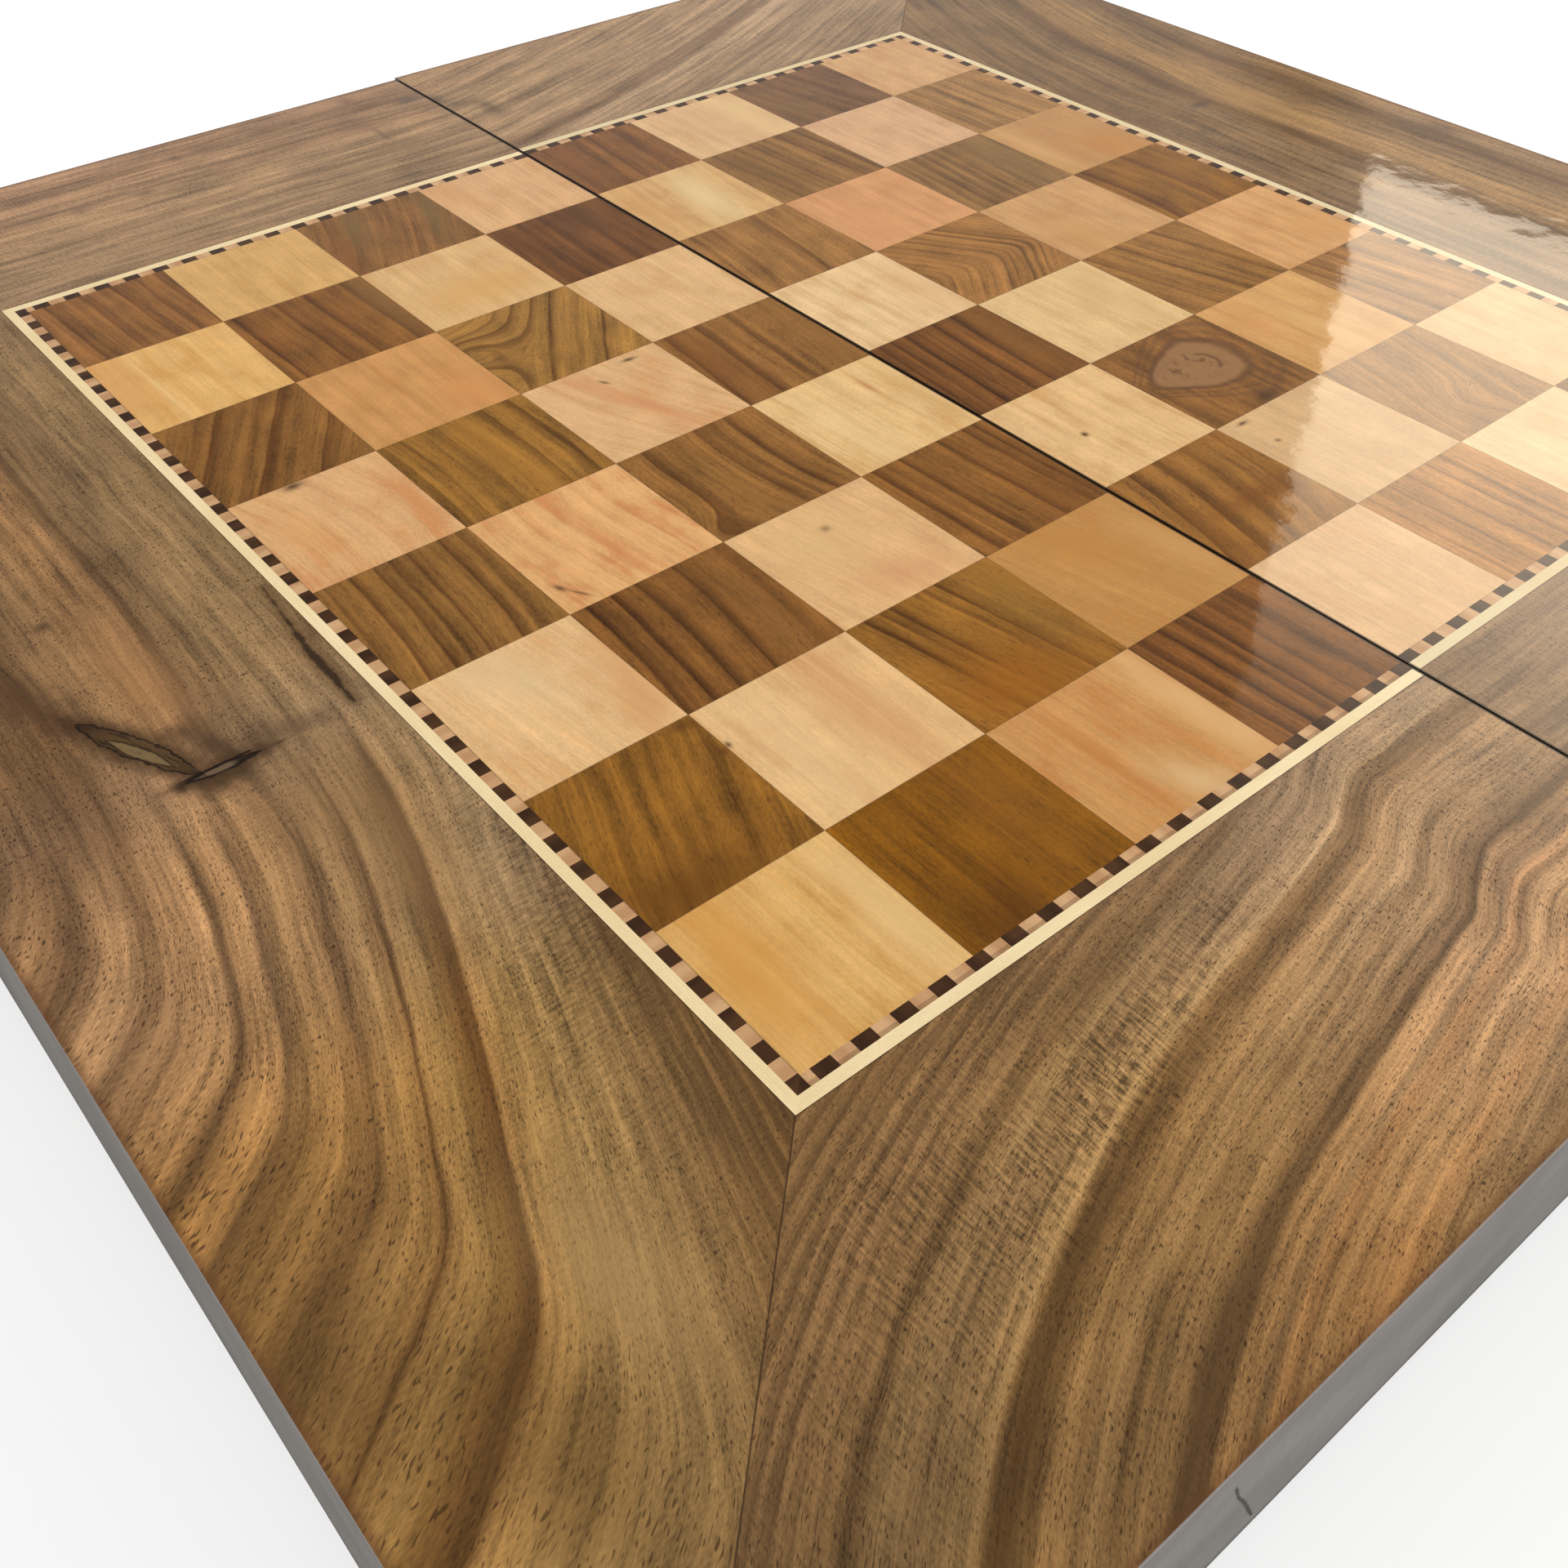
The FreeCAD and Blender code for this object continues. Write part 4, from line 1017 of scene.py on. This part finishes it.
def metal_paint(bright, dull, rough, seed):
    """Worn metal: drawn lines along X, scratches and a dull bloom."""

    def paint(net):
        x, y, z = net.place()
        drawn = net.noise(x / 9, y / 0.22, z / 0.22)
        bloom = net.noise(x / 4, y / 4, z / 4, detail=4)
        scratch = net.step(net.noise(x / 0.25, y / 6, seed, detail=1), 0.7, 0.95)
        dullness = net.step(bloom, -0.3, 0.8)
        color = net.mix(dullness * 0.75, linear(bright), linear(dull))
        color = net.gain(color, drawn * 0.06 + scratch * 0.12 + 1)
        return dict(
            Base_Color=color,
            Roughness=dullness * 0.16 + drawn * 0.04 + rough,
            Normal=net.bump(drawn * 0.003 - scratch * 0.008 + bloom * 0.004),
        )

    return paint


def rubber_paint(net):
    """Moulded rubber with a dusty bloom."""
    x, y, z = net.place()
    grain = net.noise(x / 0.35, y / 0.35, z / 0.35)
    dust = net.noise(x / 3, y / 3, z / 3, detail=3)
    color = net.mix(net.step(dust, 0, 1) * 0.6, linear((34, 33, 33)), linear((74, 70, 66)))
    color = net.gain(color, grain * 0.12 + 1)
    return surface(net, color, dust, grain * 0.02, 0.7, 0.9)


def give(node, mat):
    mesh = NODES[node].data
    mesh.materials.clear()
    mesh.materials.append(mat)


for rank in range(1, 9):
    for shade in ("dark", "light"):
        name = f"rank_{rank}_{shade}_squares"
        give(name, material(name, square_paint(rank, shade), **LACQUER))

FRAME_PAINTS = {
    "near_outer_frame_veneer": near_outer_paint,
    "near_left_frame_veneer": near_left_paint,
    "near_right_frame_veneer": near_right_paint,
    "far_outer_frame_veneer": far_outer_paint,
    "far_left_frame_veneer": far_left_paint,
    "far_right_frame_veneer": far_right_paint,
}
for name, paint in FRAME_PAINTS.items():
    give(name, material(name, paint, **LACQUER))

DARK_BLOCKS = ((62, 38, 20), (84, 54, 30)), 0.16, 3
LIGHT_BLOCKS = ((196, 148, 104), (218, 174, 128)), 0.08, 6
for half, shift in (("near", SHIFT), ("far", -SHIFT)):
    for start, name, paint in (
        ("_pale", "_string", string_paint(shift)),
        ("_banding", "_dark_blocks", block_paint(shift, *DARK_BLOCKS)),
        ("_banding", "_light_blocks", block_paint(shift, *LIGHT_BLOCKS)),
    ):
        give(half + start + name, material(half + name, paint, **LACQUER))
    for i, side in enumerate(("outer", "left", "right", "seam")):
        name = f"{half}_{side}_wall"
        crack_at = CRACK if name == "near_right_wall" else None
        give(name, material(name, wall_paint(i * 5 + shift, crack_at), Specular_IOR_Level=0.3))

plywood = material("plywood", plywood_paint, Specular_IOR_Level=0.3)
felt = material("felt", felt_paint, Specular_IOR_Level=0.15, Sheen_Weight=0.25, Sheen_Roughness=0.5)
brass = material("brass", metal_paint((236, 202, 128), (190, 154, 92), 0.26, 2), Metallic=1)
screw_brass = material("screw_brass", metal_paint((242, 214, 150), (206, 174, 116), 0.22, 5), Metallic=1)
nickel = material("nickel", metal_paint((206, 204, 198), (150, 148, 144), 0.24, 7), Metallic=1)
rubber = material("rubber", rubber_paint, Specular_IOR_Level=0.35)
SAME_ALL_OVER = {
    "_core_panel": plywood,
    "_felt_lining": felt,
    "_hinge_screws": screw_brass,
    "_closing_magnets": nickel,
    "_bumper_feet": rubber,
    "_leaf": brass,
    "_hinge_pin": screw_brass,
}
for node in NODES:
    for ending, mat in SAME_ALL_OVER.items():
        if node.endswith(ending):
            give(node, mat)

# Edges that hands and tools have rounded, in millimetres.
ROUNDED = {"_wall": 0.35, "_leaf": 0.2, "_feet": 0.4, "_pin": 0.2}
SHARP_EDGE = 50  # degrees between two faces
for node, piece in NODES.items():
    for ending, radius in ROUNDED.items():
        if node.endswith(ending):
            bevel = piece.modifiers.new("worn_edges", "BEVEL")
            bevel.width = radius * MM
            bevel.segments = 2
            bevel.limit_method = "ANGLE"
            bevel.angle_limit = math.radians(SHARP_EDGE)

# ---------------------------------------------------------------- floor, light, camera

scene = bpy.context.scene
scene.view_settings.view_transform = "Standard"


def flat_piece(name, corners, mat):
    mesh = bpy.data.meshes.new(name)
    mesh.from_pydata([Vector(c) for c in corners], [], [range(len(corners))])
    piece = bpy.data.objects.new(name, mesh)
    scene.collection.objects.link(piece)
    mesh.materials.append(mat)
    return piece


HALF_FLOOR = 6
PALE = 0.86
GLOW = 0.28  # lifts the floor to white for the camera
FLOOR_FADES = (700, 2600)  # millimetres from the board
SEEN_THROUGH = 0.55  # how far the floor is see-through near the board


def floor_shader(net):
    """Pale and plain. A look from the camera goes partly through it, so that the half that folds
    down under the other can be seen, and wholly through it far from the board."""
    seen = Num(net, net.new("LightPath").outputs["Is Camera Ray"])
    diffuse = net.new("BsdfDiffuse")
    diffuse.inputs["Color"].default_value = (PALE, PALE, PALE, 1)
    glow = net.new("Emission")
    net.feed(glow.inputs["Strength"], seen * GLOW)
    add = net.new("AddShader")
    net.feed(add.inputs[0], diffuse.outputs[0])
    net.feed(add.inputs[1], glow.outputs[0])
    x, y, z = net.place()
    away = net.root(x * x + y * y)
    mix = net.new("MixShader")
    net.feed(mix.inputs[0], seen * net.step(away, *FLOOR_FADES, SEEN_THROUGH, 1))
    net.feed(mix.inputs[1], add.outputs[0])
    net.feed(mix.inputs[2], net.new("BsdfTransparent").outputs[0])
    return mix.outputs[0]


flat_piece(
    "floor",
    [(x * HALF_FLOOR, y * HALF_FLOOR, 0) for x, y in ((-1, -1), (1, -1), (1, 1), (-1, 1))],
    bare_material("floor_paint", floor_shader),
)

# Light comes from all round, and the camera sees white. Polished things see a pale room that is
# dark overhead, with a dark doorway beside the window.
AMBIENT = 0.62  # what light from all round gives the surfaces
ROOM, OVERHEAD = 0.62, 0.06
WALLS_END, CEILING_STARTS = (math.sin(math.radians(degrees)) for degrees in (15, 31))
DOORWAY, DOORWAY_HALF, DOORWAY_DARK = -0.64, 0.09, 0.85  # bearings are x / y

world = bpy.data.worlds.new("studio")
scene.world = world
world.use_nodes = True
net = Net(world.node_tree)
background = world.node_tree.nodes["Background"]
background.inputs["Color"].default_value = (1, 1, 1, 1)
rays = net.new("LightPath").outputs
camera_ray, glossy, through = [
    Num(net, rays[f"Is {kind} Ray"]) for kind in ("Camera", "Glossy", "Transmission")]
direction = net.new("SeparateXYZ")
net.feed(direction.inputs[0], net.new("TexCoord").outputs["Generated"])
toward_x, toward_y, rise = [Num(net, part) for part in direction.outputs]
room = net.step(rise, WALLS_END, CEILING_STARTS, ROOM, OVERHEAD)
doorway = net.hump(toward_x / net.most(toward_y, 0.01), DOORWAY, DOORWAY_HALF) * DOORWAY_DARK
seen = net.most(camera_ray, net.most(glossy, through))
seen_level = glossy * (room * (1 - doorway) - 1) + 1
net.feed(background.inputs["Strength"], seen * (seen_level - AMBIENT) + AMBIENT)


def softbox(name, at, aim, wide, tall, power):
    data = bpy.data.lights.new(name, "AREA")
    data.shape = "RECTANGLE"
    data.size, data.size_y, data.energy = wide, tall, power
    lamp = bpy.data.objects.new(name, data)
    scene.collection.objects.link(lamp)
    lamp.location = at
    lamp.rotation_euler = (Vector(aim) - Vector(at)).to_track_quat("-Z", "Y").to_euler()
    lamp.visible_glossy = False


softbox("side_softbox", at=(2.2, -0.6, 1.3), aim=(0, 0, 0), wide=1.6, tall=1.2, power=11)
softbox("back_softbox", at=(-0.7, 0.75, 0.75), aim=(-0.1, 0.1, 0), wide=0.9, tall=0.6, power=6)

# The window: a bright panel behind the far edge, dimmer towards its top. Only reflections show it.
WINDOW_Y, WINDOW_LOW, WINDOW_HIGH, WINDOW_LEFT, WINDOW_RIGHT = 1.233, 0.514, 1.45, -0.592, 0.4
WINDOW_FADES = (700, 1350)  # heights in millimetres
WINDOW_BLUR = 14  # width of its soft edges, in millimetres
WINDOW_POWER = 4.7
WARM = (1, 0.89, 0.72, 1)


def window_shader(net):
    x, y, z = net.place()
    into = x - WINDOW_LEFT / MM
    up = z - WINDOW_LOW / MM
    fade = net.step(z, *WINDOW_FADES, 1, 0.1)
    fade = fade * net.step(into, 0, WINDOW_BLUR) * net.step(up, 0, WINDOW_BLUR)
    glow = net.new("Emission")
    glow.inputs["Color"].default_value = WARM
    net.feed(glow.inputs["Strength"], fade * WINDOW_POWER)
    return glow.outputs[0]


window = flat_piece(
    "window",
    [(x, WINDOW_Y, z) for x, z in (
        (WINDOW_LEFT, WINDOW_LOW), (WINDOW_RIGHT, WINDOW_LOW),
        (WINDOW_RIGHT, WINDOW_HIGH), (WINDOW_LEFT, WINDOW_HIGH))],
    bare_material("window_glow", window_shader),
)
window.visible_camera = False
window.visible_shadow = False

CAMERA_AT = Vector((283.9, -266.5, 259.7)) * MM
CAMERA_AIM = Vector((96.2, -111.9, 42)) * MM
camera_data = bpy.data.cameras.new("camera")
camera = bpy.data.objects.new("camera", camera_data)
scene.collection.objects.link(camera)
camera_data.sensor_width = 36
camera_data.lens = 37.96
camera_data.shift_x = 0.0066
camera_data.shift_y = -0.0397
camera_data.clip_start = 0.01
camera.location = CAMERA_AT
camera.rotation_euler = (CAMERA_AIM - CAMERA_AT).to_track_quat("-Z", "Y").to_euler()
scene.camera = camera
